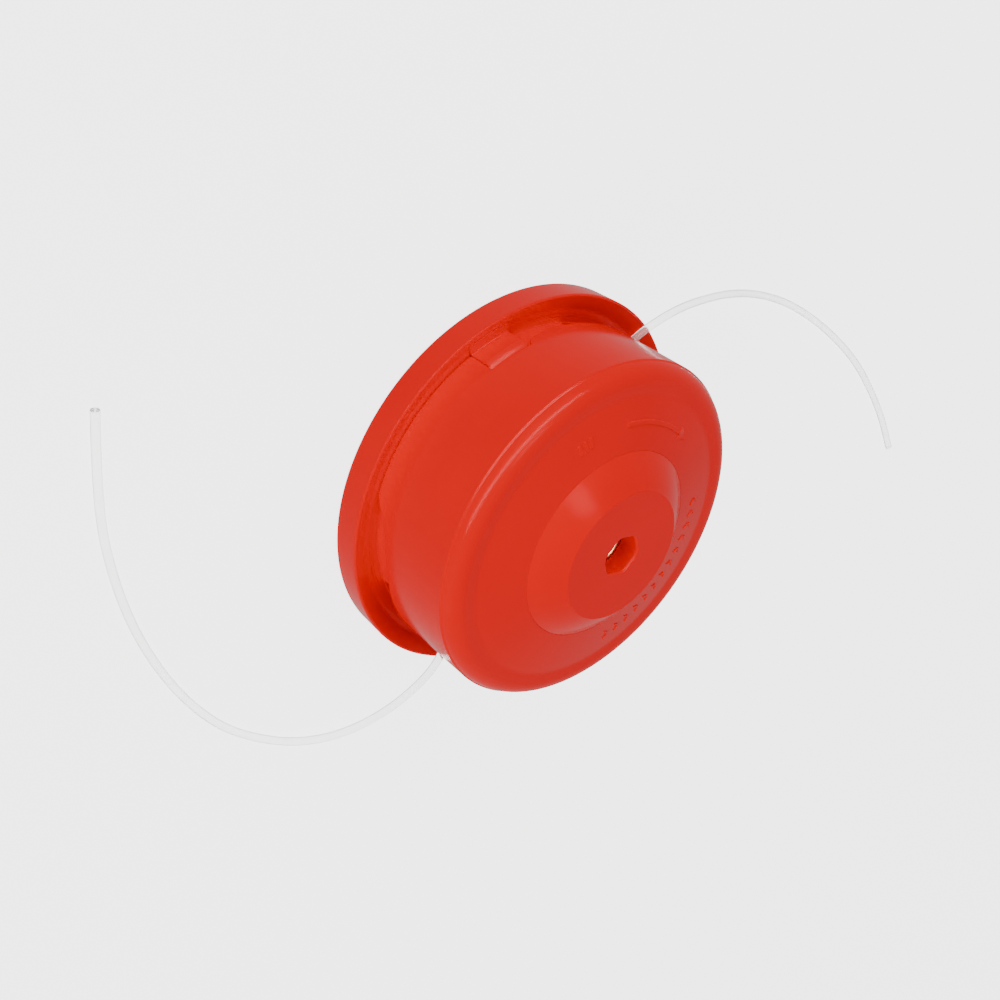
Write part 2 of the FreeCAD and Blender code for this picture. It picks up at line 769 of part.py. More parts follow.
def arc_edge(start, tangent_reach, end):
    """Circular arc from start to end that leaves along tangent_reach."""
    apex = start + tangent_reach
    chord_middle = (start + end) * 0.5
    toward = apex - chord_middle
    half = (end - start).Length / 2
    sagitta = half * math.tan(math.atan2(toward.Length, half) / 2)
    middle = chord_middle + toward.normalize() * sagitta
    return Part.Arc(start, middle, end).toShape()


def biarc(start, start_way, end, end_way):
    """Two arcs that join two points with the given directions smoothly."""
    gap = end - start
    ways = start_way + end_way
    spread = 1.0 - start_way.dot(end_way)
    cross = gap.dot(ways)
    reach = (math.sqrt(cross * cross + 2 * spread * gap.dot(gap)) - cross) / (2 * spread)
    first = start + start_way * reach
    last = end - end_way * reach
    middle = (first + last) * 0.5
    way = (last - first).normalize()
    return [arc_edge(start, start_way * reach, middle),
            arc_edge(middle, way * reach, end)]


def helix_path(radius, pitch, turns, low, start_angle):
    """Rising turns of quarter-turn biarcs, with a straight lead at each end."""
    steps = int(round(turns * 4))
    rise = pitch / (2 * math.pi)
    points = []
    ways = []
    for step in range(steps + 1):
        angle = math.radians(start_angle) + step * math.pi / 2
        points.append(Vector(radius * math.cos(angle), radius * math.sin(angle),
                             low + pitch * step / 4.0))
        ways.append(Vector(-radius * math.sin(angle), radius * math.cos(angle),
                           rise).normalize())
    edges = []
    for step in range(steps):
        edges += biarc(points[step], ways[step], points[step + 1], ways[step + 1])
    return points, ways, edges


def wound_tube(name, radius, pitch, turns, low, start_angle, diameter, leads):
    """Tube along a helix, with its least gap to itself printed."""
    points, ways, edges = helix_path(radius, pitch, turns, low, start_angle)
    start, end = points[0], points[-1]
    if leads:
        start = points[0] - ways[0] * diameter
        end = points[-1] + ways[-1] * diameter
        edges = [Part.LineSegment(start, points[0]).toShape()] + edges
        edges = edges + [Part.LineSegment(points[-1], end).toShape()]
    path = Part.Wire(edges)
    section = Part.Wire(Part.Circle(start, ways[0], diameter / 2).toShape())
    tube = path.makePipeShell([section], True, False)
    samples = path.discretize(Number=int(SAMPLES_PER_TURN * turns))
    half_turn = math.pi * radius
    step = path.Length / (len(samples) - 1)
    nearest = min((samples[i] - samples[j]).Length
                  for i in range(len(samples))
                  for j in range(i + int(half_turn / step), len(samples)))
    print("%s: least gap to itself %.2f mm" % (name, nearest - diameter))
    return tube


def winding(label, chamber_low, chamber_high):
    """Line wound in one chamber: the outer layer's turns over a plain core."""
    diameter = S.line_diameter.value
    pitch = diameter + S.turn_gap.value
    low = size(chamber_low).value
    high = size(chamber_high).value
    gap = S.winding_gap.value
    room = high - low - diameter - 2 * gap
    turns = math.floor(room / pitch * 4) / 4.0
    first = (low + high - turns * pitch) / 2
    core_radius = (SPOOL_RADIUS - S.winding_inset).value
    ring = Part.makeCylinder(core_radius, high - low - 2 * gap, Vector(0, 0, low + gap))
    hole = Part.makeCylinder((S.spool_core + S.running_gap).value, high - low,
                             Vector(0, 0, low))
    radius = core_radius + gap + diameter / 2
    tube = wound_tube(label, radius, pitch, turns, first, S.slot_centre.value,
                      diameter, True)
    return solid_feature(label, Part.makeCompound([ring.cut(hole), tube]))


def feed_spring():
    """Compression spring between the washer and the spool's web."""
    wire = S.spring_wire.value
    gap = S.spring_end_gap.value
    low = (S.housing_hub_top + S.washer_thick).value + wire / 2 + gap
    high = WEB_LOW.value - wire / 2 - gap
    turns = float(S.spring_turns.value)
    tube = wound_tube("feed_spring", S.spring_radius.value, (high - low) / turns,
                      turns, low, 0.0, wire, False)
    return solid_feature("feed_spring", tube)


def line_end(label, route):
    """Free stretch of line: straight runs joined by tangent arcs."""
    points = [Vector(*point) for point in route]
    radii = []
    edges = []
    at = points[0]
    for before, corner, after in zip(points, points[1:], points[2:]):
        back = (before - corner).normalize()
        onward = (after - corner).normalize()
        half_turn = (math.pi - back.getAngle(onward)) / 2
        reach = ARC_SHARE * min((before - corner).Length, (after - corner).Length)
        radii.append(reach / math.tan(half_turn))
        start = corner + back * reach
        end = corner + onward * reach
        edges.append(Part.LineSegment(at, start).toShape())
        edges.append(arc_edge(start, corner - start, end))
        at = end
    edges.append(Part.LineSegment(at, points[-1]).toShape())
    path = Part.Wire(edges)
    radius = S.line_diameter.value / 2
    section = Part.Wire(Part.Circle(points[0], points[1] - points[0], radius).toShape())
    tube = path.makePipeShell([section], True, False)
    expected = math.pi * radius ** 2 * path.Length
    print("%s: length %.1f mm, arc radii %s mm, volume %.1f against %.1f mm3" % (
        label, path.Length, " ".join("%.0f" % value for value in radii),
        tube.Volume, expected))
    if min(radii) < LEAST_RADIUS_IN_DIAMETERS * 2 * radius:
        print("%s: an arc is tighter than %.0f diameters" % (
            label, LEAST_RADIUS_IN_DIAMETERS))
    return solid_feature(label, tube)


def all_parts():
    """Every sub-part, from the flange to the knob."""
    lower_chamber = (SPOOL_LOW + S.spool_plate, DIVIDER_LOW)
    upper_chamber = (DIVIDER_LOW + S.spool_plate, SPOOL_TOP - S.spool_plate)
    return [
        upper_housing(),
        drive_arbor(),
        spring_washer(),
        feed_spring(),
        latch_tab("latch_tab_a", 0),
        latch_tab("latch_tab_b", HALF_TURN),
        cup(),
        spool(),
        winding("winding_lower", *lower_chamber),
        winding("winding_upper", *upper_chamber),
        bearing_bush(),
        bump_knob(),
        line_end("line_end_a", LINE_END_A),
        line_end("line_end_b", LINE_END_B),
    ]


def check(parts):
    """Stop if a feature failed or a sub-part isn't a valid solid."""
    for thing in doc.Objects:
        if "Invalid" in thing.State or "Error" in thing.State:
            raise RuntimeError("failed feature: %s %s" % (thing.Label, thing.State))
    for part in parts:
        shape = part.Shape
        if shape.isNull() or not shape.isValid() or shape.Volume <= 0:
            raise RuntimeError("bad shape: " + part.Label)


parts = all_parts()
doc.recompute()
check(parts)
os.makedirs("parts", exist_ok=True)
for part in parts:
    part.Shape.exportStep("parts/%s.step" % part.Label)
    print("%s: %d solid, %.1f mm3" % (part.Label, len(part.Shape.Solids), part.Shape.Volume))
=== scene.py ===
"""Looks of a string trimmer's cutting head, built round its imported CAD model.

Lengths in the classes are millimetres in the CAD frame: +Z runs along the spin
axis from the flange's flat back (z = 0) to the bump knob, and the two latch
tabs lie on -Y and +Y. Angles are degrees from +X towards +Y.
"""

import logging
import math
from dataclasses import dataclass
from enum import Enum
from functools import cache

import bpy
import numpy as np
from bpy.types import Curve, Material, Mesh, Node, NodeSocket, Object
from mathutils import Matrix


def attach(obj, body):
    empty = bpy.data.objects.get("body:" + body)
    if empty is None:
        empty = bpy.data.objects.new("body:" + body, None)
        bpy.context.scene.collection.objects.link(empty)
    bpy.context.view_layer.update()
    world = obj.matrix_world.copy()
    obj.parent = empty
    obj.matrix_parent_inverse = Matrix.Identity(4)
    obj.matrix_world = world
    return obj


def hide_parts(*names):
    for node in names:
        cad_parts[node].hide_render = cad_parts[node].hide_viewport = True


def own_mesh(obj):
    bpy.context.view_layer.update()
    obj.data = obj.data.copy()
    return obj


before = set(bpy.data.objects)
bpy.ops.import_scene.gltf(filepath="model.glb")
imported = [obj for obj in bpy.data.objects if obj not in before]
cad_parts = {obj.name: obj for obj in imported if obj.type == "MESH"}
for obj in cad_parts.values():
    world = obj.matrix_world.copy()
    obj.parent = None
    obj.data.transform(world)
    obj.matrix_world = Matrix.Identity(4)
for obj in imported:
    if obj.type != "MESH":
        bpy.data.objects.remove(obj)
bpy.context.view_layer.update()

LOG = logging.getLogger("trimmer_head")
MM = 0.001
# A side's supporting point lies this far from its arc, plus a share of the arc's reach.
SUPPORT = 0.02
SUPPORT_SHARE = 0.2
# Edges that shade as sharp, and edges of the collar that are eased.
SHARP_EDGE = math.radians(40)
SHARP_BEND = math.radians(50)
# Degrees from a change of section to its pair of angles, and to the next even step.
EDGE_PAIR = 0.015
EDGE_CLEAR = 0.25
TAB_ANGLES = (-90.0, 90.0)
# Part of a noise's range that most of its values lie in.
MIDDLE_HALF = (0.25, 0.75)
Array = np.ndarray
Corner = tuple[float, float, float]
Tone = tuple[float, float, float]


class Body(Enum):
    """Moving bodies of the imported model."""

    HOUSING = "housing"
    TAB_A = "tab_a"
    TAB_B = "tab_b"
    COVER = "cover"
    BUSH = "bush"
    REEL = "reel"


class Slot(Enum):
    """Material slots of the record."""

    SHELL = "red_shell"
    NYLON = "black_nylon"
    LINE = "clear_line"
    STEEL = "steel"
    SPRING = "spring_steel"
    BRASS = "brass"


# Surfaces


def unit(vectors: Array) -> Array:
    """Vectors divided by their lengths along the last axis."""
    return vectors / np.linalg.norm(vectors, axis=-1, keepdims=True)


def rounded_corners(
    corners: Array, radii: Array, period: float = 0.0, steps: int = 5
) -> tuple[Array, Array]:
    """Points and directions along a closed outline whose corners are arcs.

    An arc touches both sides of its corner at radius / tan(half the corner's
    angle) from it. A point of the arc is its centre plus the two touching
    spokes, weighted as on a great circle, and so is its direction from those
    of the two sides. One more point on each side keeps the sides' shading flat.

    Args:
        corners: Corners in order, shape (count, 2).
        radii: Radius of the arc at each corner.
        period: Length after which the outline repeats along its first axis, or
            0 where it closes on itself.
        steps: Runs that each arc is divided into.

    Returns:
        Points and unit directions, both of shape (count * (steps + 3), 2).
    """
    before = np.roll(corners, 1, axis=0)
    after = np.roll(corners, -1, axis=0)
    before[0, 0] -= period
    after[-1, 0] += period
    back, onward = unit(before - corners), unit(after - corners)
    half = np.arccos(np.clip((back * onward).sum(-1), -1, 1)) / 2
    reach = radii / np.tan(half)
    room = np.linalg.norm(after - corners, axis=-1) - reach - np.roll(reach, -1)
    ahead = np.minimum(SUPPORT_SHARE * reach + SUPPORT, room / 3)[:, None]
    behind = np.minimum(SUPPORT_SHARE * reach + SUPPORT, np.roll(room, 1) / 3)[:, None]
    reach = reach[:, None]
    centre = corners + unit(back + onward) * (radii / np.sin(half))[:, None]
    sweep = (math.pi - 2 * half)[:, None]
    share = np.linspace(0, 1, steps + 1)[None, :]
    first = (np.sin((1 - share) * sweep) / np.sin(sweep))[..., None]
    last = (np.sin(share * sweep) / np.sin(sweep))[..., None]
    spokes = first * (corners + back * reach - centre)[:, None]
    spokes = spokes + last * (corners + onward * reach - centre)[:, None]
    entry = corners + back * (reach + behind)
    leave = corners + onward * (reach + ahead)
    points = np.concatenate([entry[:, None], centre[:, None] + spokes, leave[:, None]], axis=1)
    ways = unit(first * -back[:, None] + last * onward[:, None])
    ways = np.concatenate([-back[:, None], ways, onward[:, None]], axis=1)
    return points.reshape(-1, 2), ways.reshape(-1, 2)


def section(corners: list[Corner], steps: int = 5, closed: bool = True) -> Array:
    """Section from corners of radius, height and arc radius.

    Args:
        corners: Corners in order along the section.
        steps: Runs that each arc is divided into.
        closed: Whether it closes on itself; if not, its end corners stay sharp.

    Returns:
        Points of radius and height, shape (count, 2).
    """
    table = np.array(corners, float)
    points = rounded_corners(table[:, :2], table[:, 2], 0.0, steps)[0]
    if closed:
        return points
    inner = points.reshape(len(corners), -1, 2)[1:-1].reshape(-1, 2)
    return np.concatenate([table[:1, :2], inner, table[-1:, :2]])


def divided(values: Array, counts: Array) -> Array:
    """Rows of a table with each run between two of them divided evenly.

    Args:
        values: Table of shape (count + 1, width).
        counts: Parts that each run is divided into, shape (count,).

    Returns:
        Table whose rows start each part, shape (sum of counts, width).
    """
    run = np.repeat(np.arange(len(counts)), counts)
    part = np.arange(len(run)) - np.repeat(np.cumsum(counts) - counts, counts)
    share = (part / np.repeat(counts, counts))[:, None]
    return values[run] * (1 - share) + values[run + 1] * share


def turned(profile: Array, angles: Array) -> Array:
    """Surface of revolution: each section point goes round the axis.

    A point is (r cos a, r sin a, z), for one section or one at each angle.

    Args:
        profile: Radius and height, shape (points, 2) or (angles, points, 2).
        angles: Angles in degrees.

    Returns:
        Points of shape (angles, points, 3).
    """
    turn = np.radians(angles)[:, None]
    radius = np.broadcast_to(profile[..., 0], (len(angles), profile.shape[-2]))
    height = np.broadcast_to(profile[..., 1], radius.shape)
    return np.stack([radius * np.cos(turn), radius * np.sin(turn), height], axis=-1)


def around(count: int) -> Array:
    """Evenly spaced angles of a full turn, in degrees."""
    return np.arange(count) * 360.0 / count


def apart(angles: Array, places: Array) -> Array:
    """Angle from each of some angles to the nearest place, in degrees."""
    return np.abs((angles[:, None] - places[None] + 180) % 360 - 180).min(axis=1)


def stepped(count: int, edges: Array) -> Array:
    """Angles of a full turn, with a close pair at each edge.

    Args:
        count: Even steps in a turn.
        edges: Angles where the section changes, in degrees.

    Returns:
        Sorted angles in degrees.
    """
    even = around(count)
    pairs = np.concatenate([edges - EDGE_PAIR, edges + EDGE_PAIR])
    return np.sort(np.concatenate([even[apart(even, edges) > EDGE_CLEAR], pairs]) % 360)


def from_tab(angles: Array) -> Array:
    """Angle to the nearer latch tab's middle, in degrees."""
    return np.abs(angles % 180 - 90)


def coil(turns: Array, radius: Array, height: Array, wire: float, sides: int) -> Array:
    """Round wire carried along (r cos a, r sin a, z).

    Its circle lies in the plane of the way outwards, squared to the path, and of
    that way's cross product with the path.

    Args:
        turns: Turns from +X at each station.
        radius: Radius r at each station.
        height: Height z at each station.
        wire: Thickness of the wire.
        sides: Points round it.

    Returns:
        Points of shape (stations, sides, 3).
    """
    angle = np.radians(turns * 360)
    out = np.stack([np.cos(angle), np.sin(angle), np.zeros_like(angle)], axis=-1)
    path = out * radius[:, None]
    path[:, 2] = height
    way = unit(np.gradient(path, axis=0))
    across = unit(out - way * (out * way).sum(-1, keepdims=True))
    up = np.cross(way, across)
    side = np.radians(around(sides))[None, :, None]
    ring = across[:, None] * np.cos(side) + up[:, None] * np.sin(side)
    return path[:, None] + wire / 2 * ring


def sector(corners: list[Corner], centre: float, span: float, edge: float) -> Array:
    """A section carried through part of a turn, with its two ends eased.

    Towards an end the section shrinks along its own normals as a quarter circle
    of radius edge: inset edge (1 - sin q) at edge (1 - cos q) from the end.

    Args:
        corners: Corners of radius, height and arc radius, round the section.
        centre: Angle of the sector's middle, in degrees.
        span: Angle that it spans, in degrees.
        edge: Radius of the eased ends.

    Returns:
        Points of shape (angles, points, 3).
    """
    table = np.array(corners, float)
    points, ways = rounded_corners(table[:, :2], table[:, 2], 0.0, 4)
    nearby = np.roll(points, -1, axis=0)
    area = (points[:, 0] * nearby[:, 1] - nearby[:, 0] * points[:, 1]).sum()
    inward = np.sign(area) * np.column_stack([-ways[:, 1], ways[:, 0]])
    quarter = np.radians(np.linspace(0, 90, 5))
    inset = edge * (1 - np.sin(quarter))
    reach = np.degrees(edge * (1 - np.cos(quarter)) / table[:, 0].mean())
    middle = np.linspace(reach[-1], span - reach[-1], max(3, int(span) + 1))[1:-1]
    turn = np.concatenate([reach, middle, span - reach[::-1]]) + centre - span / 2
    depth = np.concatenate([inset, np.zeros(len(middle)), inset[::-1]])
    return turned(points[None] + inward[None] * depth[:, None, None], turn)


def six_sectors(corners: list[Corner], centre: float, span: float,
                edge: float = 0.3) -> list[Array]:
    """A sector and its copies turned about the axis by sixths of a turn.

    Args:
        corners: Corners of radius, height and arc radius, round the section.
        centre: Angle of the first sector's middle, in degrees.
        span: Angle that it spans, in degrees.
        edge: Radius of the eased ends.

    Returns:
        Six grids of points.
    """
    turn = np.radians(around(6))
    x, y, z = np.moveaxis(sector(corners, centre, span, edge), -1, 0)
    return [np.stack([x * c - y * s, x * s + y * c, z], axis=-1)
            for c, s in zip(np.cos(turn), np.sin(turn))]


def cells(index: Array) -> Array:
    """Quads between the rows and columns of a grid of point numbers."""
    return np.stack([index[:-1, :-1], index[1:, :-1], index[1:, 1:], index[:-1, 1:]], axis=-1)


def grid_faces(points: Array, ring: bool, first: int) -> list[list[int]]:
    """Faces over a grid of points whose last column meets its first, turned outwards.

    The sign of the volume under the quads tells which way they face.

    Args:
        points: Grid of points, shape (rows, columns, 3).
        ring: Whether the last row meets the first; if not, a face fills each.
        first: Number of the grid's first point.

    Returns:
        Faces as lists of point numbers, the two end faces last.
    """
    index = np.arange(points.shape[0] * points.shape[1]).reshape(points.shape[:2])
    ends = [] if ring else [index[0], index[-1, ::-1]]
    if ring:
        index = np.concatenate([index, index[:1]])
    quads = cells(np.concatenate([index, index[:, :1]], axis=1)).reshape(-1, 4)
    flat = points.reshape(-1, 3)
    corner = flat[quads] - flat.mean(axis=0)
    volume = (corner[:, 0] * np.cross(corner[:, 1], corner[:, 2])).sum()
    volume += (corner[:, 0] * np.cross(corner[:, 2], corner[:, 3])).sum()
    way = -1 if volume < 0 else 1
    return (first + quads[:, ::way]).tolist() + [(first + end[::way]).tolist() for end in ends]


def sheet_mesh(name: str, grid: Array, keep: Array) -> Mesh:
    """Open sheet of some cells of a grid whose last row meets its first.

    Args:
        name: Name of the mesh.
        grid: Points in millimetres, shape (rows, columns, 3).
        keep: Cells that are kept, shape (rows, columns - 1).

    Returns:
        The mesh, in metres.
    """
    index = np.arange(grid.shape[0] * grid.shape[1]).reshape(grid.shape[:2])
    quads = cells(np.concatenate([index, index[:1]]))[keep]
    used, packed = np.unique(quads, return_inverse=True)
    mesh = bpy.data.meshes.new(name)
    places = grid.reshape(-1, 3)[used] * MM
    mesh.from_pydata(places.tolist(), [], packed.reshape(-1, 4).tolist())
    mesh.polygons.foreach_set("use_smooth", [True] * len(mesh.polygons))
    mesh.update()
    return mesh


# Finishes


class Nodes:
    """A material's node tree, built by short calls."""

    def __init__(self, name: str) -> None:
        """Start an empty material.

        Args:
            name: Name of the material.
        """
        self.material = bpy.data.materials.new(name)
        self.material.use_nodes = True
        self.tree = self.material.node_tree
        self.tree.nodes.clear()

    def add(self, kind: str, **values: object) -> Node:
        """New node, with constants on some of its inputs.

        Args:
            kind: Type of the node without its ShaderNode prefix.
            **values: Constants by the input's name, with _ for a space.

        Returns:
            The node.
        """
        node = self.tree.nodes.new("ShaderNode" + kind)
        for key, value in values.items():
            node.inputs[key.replace("_", " ")].default_value = value
        return node

    def link(self, source: NodeSocket, target: NodeSocket) -> None:
        """Join an output to an input."""
        self.tree.links.new(source, target)

    def noise(self, scale: float, detail: float,
              stretch: Corner = (1, 1, 1)) -> NodeSocket:
        """Noise on Object coordinates.

        Args:
            scale: Grains for each metre.
            detail: Layers of finer noise.
            stretch: Scale of each axis before the noise.

        Returns:
            The noise's value from 0 to 1.
        """
        place = self.add("TexCoord")
        mapping = self.add("Mapping", Scale=stretch)
        self.link(place.outputs["Object"], mapping.inputs["Vector"])
        noise = self.add("TexNoise", Scale=scale, Detail=detail)
        self.link(mapping.outputs["Vector"], noise.inputs["Vector"])
        return noise.outputs["Fac"]

    def vary(self, shader: Node, tone: NodeSocket, tones: tuple[Tone, Tone],
             polish: NodeSocket, gloss: tuple[float, float]) -> None:
        """Spread a shader's colour and roughness over the middle half of two noises.

        Args:
            shader: The shader.
            tone: Noise of the colour.
            tones: Colours at its ends.
            polish: Noise of the roughness.
            gloss: Roughness at its ends.
        """
        ramp = self.add("ValToRGB")
        for element, position, colour in zip(ramp.color_ramp.elements, MIDDLE_HALF, tones):
            element.position = position
            element.color = (*colour, 1)
        self.link(tone, ramp.inputs["Fac"])
        self.link(ramp.outputs["Color"], shader.inputs["Base Color"])
        spread = self.add("MapRange", From_Min=MIDDLE_HALF[0], From_Max=MIDDLE_HALF[1],
                          To_Min=gloss[0], To_Max=gloss[1])
        self.link(polish, spread.inputs["Value"])
        self.link(spread.outputs["Result"], shader.inputs["Roughness"])

    def finish(self, shader: Node, grain: NodeSocket, strength: float,
               height: float) -> Material:
        """Send a shader to the surface, with a bump from a noise.

        Args:
            shader: The shader.
            grain: Noise of the bump.
            strength: Share of the bump that is felt.
            height: Height of the bump, in metres.

        Returns:
            The material.
        """
        bump = self.add("Bump", Strength=strength, Distance=height)
        self.link(grain, bump.inputs["Height"])
        self.link(bump.outputs["Normal"], shader.inputs["Normal"])
        output = self.add("OutputMaterial")
        self.link(shader.outputs[0], output.inputs["Surface"])
        return self.material


@dataclass(frozen=True)
class MouldedPlastic:
    """Moulded plastic: slow changes of tone, a fine skin and uneven gloss."""

    name: str
    dark: Tone
    light: Tone
    gloss: tuple[float, float]
    skin: float = 0.000004
    shine: float = 0.16
    sheen_tone: Tone = (1.0, 1.0, 1.0)

    def material(self) -> Material:
        """Build the material.

        Returns:
            The material.
        """
        nodes = Nodes(self.name)
        shader = nodes.add("BsdfPrincipled", IOR=1.5, Specular_IOR_Level=self.shine,
                           Specular_Tint=(*self.sheen_tone, 1))
        nodes.vary(shader, nodes.noise(28, 3, (1, 1, 2.5)), (self.dark, self.light),
                   nodes.noise(90, 4), self.gloss)
        return nodes.finish(shader, nodes.noise(1400, 2), 0.5, self.skin)


@dataclass(frozen=True)
class ClearNylon:
    """Extruded clear nylon line, slightly milky and not quite even."""

    name: str
    colour: Tone
    clearness: float
    gloss: tuple[float, float] = (0.12, 0.3)
    paler: float = 1.06

    def material(self) -> Material:
        """Build the material.

        Returns:
            The material.
        """
        nodes = Nodes(self.name)
        shader = nodes.add("BsdfPrincipled", IOR=1.3, Transmission_Weight=self.clearness)
        pale = tuple(min(1.0, part * self.paler) for part in self.colour)
        cloud = nodes.noise(160, 3)
        nodes.vary(shader, cloud, (self.colour, pale), cloud, self.gloss)
        return nodes.finish(shader, nodes.noise(900, 2), 0.4, 0.00002)


@dataclass(frozen=True)
class TurnedMetal:
    """Lathe-turned or drawn metal with fine rings round the axis."""

    name: str
    colour: Tone
    gloss: tuple[float, float]
    darker: float = 0.8

    def material(self) -> Material:
        """Build the material.

        Returns:
            The material.
        """
        nodes = Nodes(self.name)
        shader = nodes.add("BsdfPrincipled", Metallic=1.0)
        dark = tuple(part * self.darker for part in self.colour)
        stain = nodes.noise(120, 4)
        nodes.vary(shader, stain, (dark, self.colour), stain, self.gloss)
        return nodes.finish(shader, nodes.noise(250, 2, (1, 1, 16)), 0.35, 0.00002)


@dataclass(frozen=True)
class PalePaper:
    """Plain pale studio floor with a faint tooth and a glow of its own."""

    name: str
    tone: float
    glow: float

    def material(self) -> Material:
        """Build the material.

        Returns:
            The material.
        """
        nodes = Nodes(self.name)
        colour = (self.tone, self.tone, self.tone, 1)
        shader = nodes.add("BsdfPrincipled", Roughness=0.9, Specular_IOR_Level=0.1,
                           Base_Color=colour, Emission_Color=colour, Emission_Strength=self.glow)
        return nodes.finish(shader, nodes.noise(700, 2), 0.05, 0.0001)


FINISHES = {
    Slot.SHELL: MouldedPlastic(
        "moulded_red", (0.92, 0.0003, 0.0008), (0.97, 0.0004, 0.001), (0.14, 0.22),
        sheen_tone=(1.0, 0.35, 0.35)),
    Slot.NYLON: MouldedPlastic(
        "black_nylon", (0.012, 0.012, 0.014), (0.03, 0.03, 0.033), (0.35, 0.5), 0.00001, 0.5),
    Slot.LINE: ClearNylon("clear_line", (0.94, 0.95, 0.94), 0.88),
    Slot.STEEL: TurnedMetal("zinc_steel", (0.62, 0.62, 0.6), (0.22, 0.4)),
    Slot.SPRING: TurnedMetal("spring_wire", (0.42, 0.42, 0.43), (0.2, 0.35)),
    Slot.BRASS: TurnedMetal("turned_brass", (0.86, 0.6, 0.26), (0.12, 0.25)),
}


def show(name: str, data: bpy.types.ID) -> Object:
    """Put an object of some data into the scene.

    Args:
        name: Name of the object.
        data: Mesh, curve, camera or light.

    Returns:
        The object.
    """
    thing = bpy.data.objects.new(name, data)
    bpy.context.scene.collection.objects.link(thing)
    return thing


@cache
def finish_of(slot: Slot) -> Material:
    """Material of a slot, made on first use."""
    return FINISHES[slot].material()


def add_piece(data: Mesh | Curve, body: Body, slot: Slot, node: str) -> Object:
    """Put finished data into the scene as a piece that rides on a body.

    Args:
        data: Mesh or curve, whose name the piece takes.
        body: Body that the piece moves with.
        slot: Slot of its finish.
        node: CAD node that the piece stands for.

    Returns:
        The piece.
    """
    piece = show(data.name, data)
    data.materials.append(finish_of(slot))
    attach(piece, body.value)
    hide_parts(node)
    LOG.info("built %s on %s", piece.name, body.value)
    return piece


def add_grids(name: str, grids: list[Array], body: Body, slot: Slot, node: str,
              ring: bool = True) -> Object:
    """Put one mesh of several grids of points into the scene as a piece.

    Args:
        name: Name of the piece.
        grids: Grids in millimetres, each of shape (rows, columns, 3).
        body: Body that the piece moves with.
        slot: Slot of its finish.
        node: CAD node that the piece stands for.
        ring: Whether the last row meets the first; if not, a face fills each.

    Returns:
        The piece.
    """
    places, faces, smooth = [], [], []
    count = 0
    for grid in grids:
        own = grid_faces(grid, ring, count)
        faces += own
        ends = 0 if ring else 2
        smooth += [True] * (len(own) - ends) + [False] * ends
        places.append(grid.reshape(-1, 3) * MM)
        count += len(places[-1])
    mesh = bpy.data.meshes.new(name)
    mesh.from_pydata(np.concatenate(places).tolist(), [], faces)
    mesh.polygons.foreach_set("use_smooth", smooth)
    mesh.set_sharp_from_angle(angle=SHARP_EDGE)
    mesh.update()
    return add_piece(mesh, body, slot, node)


# Studio


def placed(right: Corner, up: Corner, back: Corner, place: Corner) -> Matrix:
    """Matrix of an object from its three axes and its place."""
    return Matrix([*zip(right, up, back, place), (0, 0, 0, 1)])


@dataclass(frozen=True)
class SoftLight:
    """Soft rectangular light, in metres and watts, with its width along a direction."""

    name: str
    place: Corner
    aim: Corner
    size: tuple[float, float]
    power: float
    along: Corner = (1, 0, 0)
    lights_body: bool = True
    mirrored: bool = True


LIGHTS = (
    SoftLight("key", (-0.12, -1.0, 0.45), (0, 0, 0.03), (0.9, 0.9), 6.8, mirrored=False),
    SoftLight("fill", (0.95, 0.25, 0.35), (0, 0, 0.02), (0.6, 0.6), 5.0, (0, 1, 0),
              mirrored=False),
    SoftLight("boss_patch", (-0.061, -0.386, 0.95), (0, 0, 0.05), (0.28, 0.28), 1.8,
              lights_body=False),
    SoftLight("edge_strip", (0.2, -0.63, 0.65), (0, -0.05, 0.04), (1.8, 0.22), 20.0,
              (1.61, 0.45, -0.21), lights_body=False),
)


@dataclass
class Studio:
    """Camera, floor and lights, in metres."""

    place: Corner = (0.2025, -0.3476, 0.3059)
    right: Corner = (-0.7500, 0.1323, 0.6480)
    up: Corner = (-0.5333, -0.7005, -0.4742)
    back: Corner = (0.3913, -0.7012, 0.5960)
    lens: float = 61.2
    sensor: float = 36.0
    floor_half: float = 3.0
    floor_drop: float = 0.0002
    floor_glow: float = 4.2
    surround: float = 0.54

    def camera(self) -> None:
        """Set the camera at the photograph's viewing angle."""
        data = bpy.data.cameras.new("camera")
        data.lens = self.lens
        data.sensor_width = self.sensor
        data.clip_start = 0.01
        camera = show("camera", data)
        camera.matrix_world = placed(self.right, self.up, self.back, self.place)
        bpy.context.scene.camera = camera

    def floor(self) -> None:
        """Lay a plain pale floor under the flange's back."""
        half = self.floor_half
        corners = ((-half, -half), (half, -half), (half, half), (-half, half))
        mesh = bpy.data.meshes.new("floor")
        mesh.from_pydata([(x, y, -self.floor_drop) for x, y in corners], [], [(0, 1, 2, 3)])
        mesh.materials.append(PalePaper("pale_floor", 0.8, self.floor_glow).material())
        floor = show("floor", mesh)
        floor.visible_diffuse = False
        floor.visible_glossy = False

    def area_light(self, light: SoftLight) -> None:
        """Put one soft light into the scene.

        Args:
            light: Its place, size and power.
        """
        data = bpy.data.lights.new(light.name, "AREA")
        data.shape = "RECTANGLE"
        data.size, data.size_y = light.size
        data.energy = light.power
        lamp = show(light.name, data)
        back = unit(np.array(light.place) - np.array(light.aim))
        up = unit(np.cross(back, light.along))
        lamp.matrix_world = placed(np.cross(up, back), up, back, light.place)
        lamp.visible_diffuse = light.lights_body
        lamp.visible_glossy = light.mirrored

    def lights(self) -> None:
        """Set the soft lights and an even surround."""
        world = bpy.data.worlds.new("surround")
        world.use_nodes = True
        background = world.node_tree.nodes["Background"]
        background.inputs["Color"].default_value = (1, 1, 1, 1)
        background.inputs["Strength"].default_value = self.surround
        bpy.context.scene.world = world
        for light in LIGHTS:
            self.area_light(light)


# Sub-assemblies


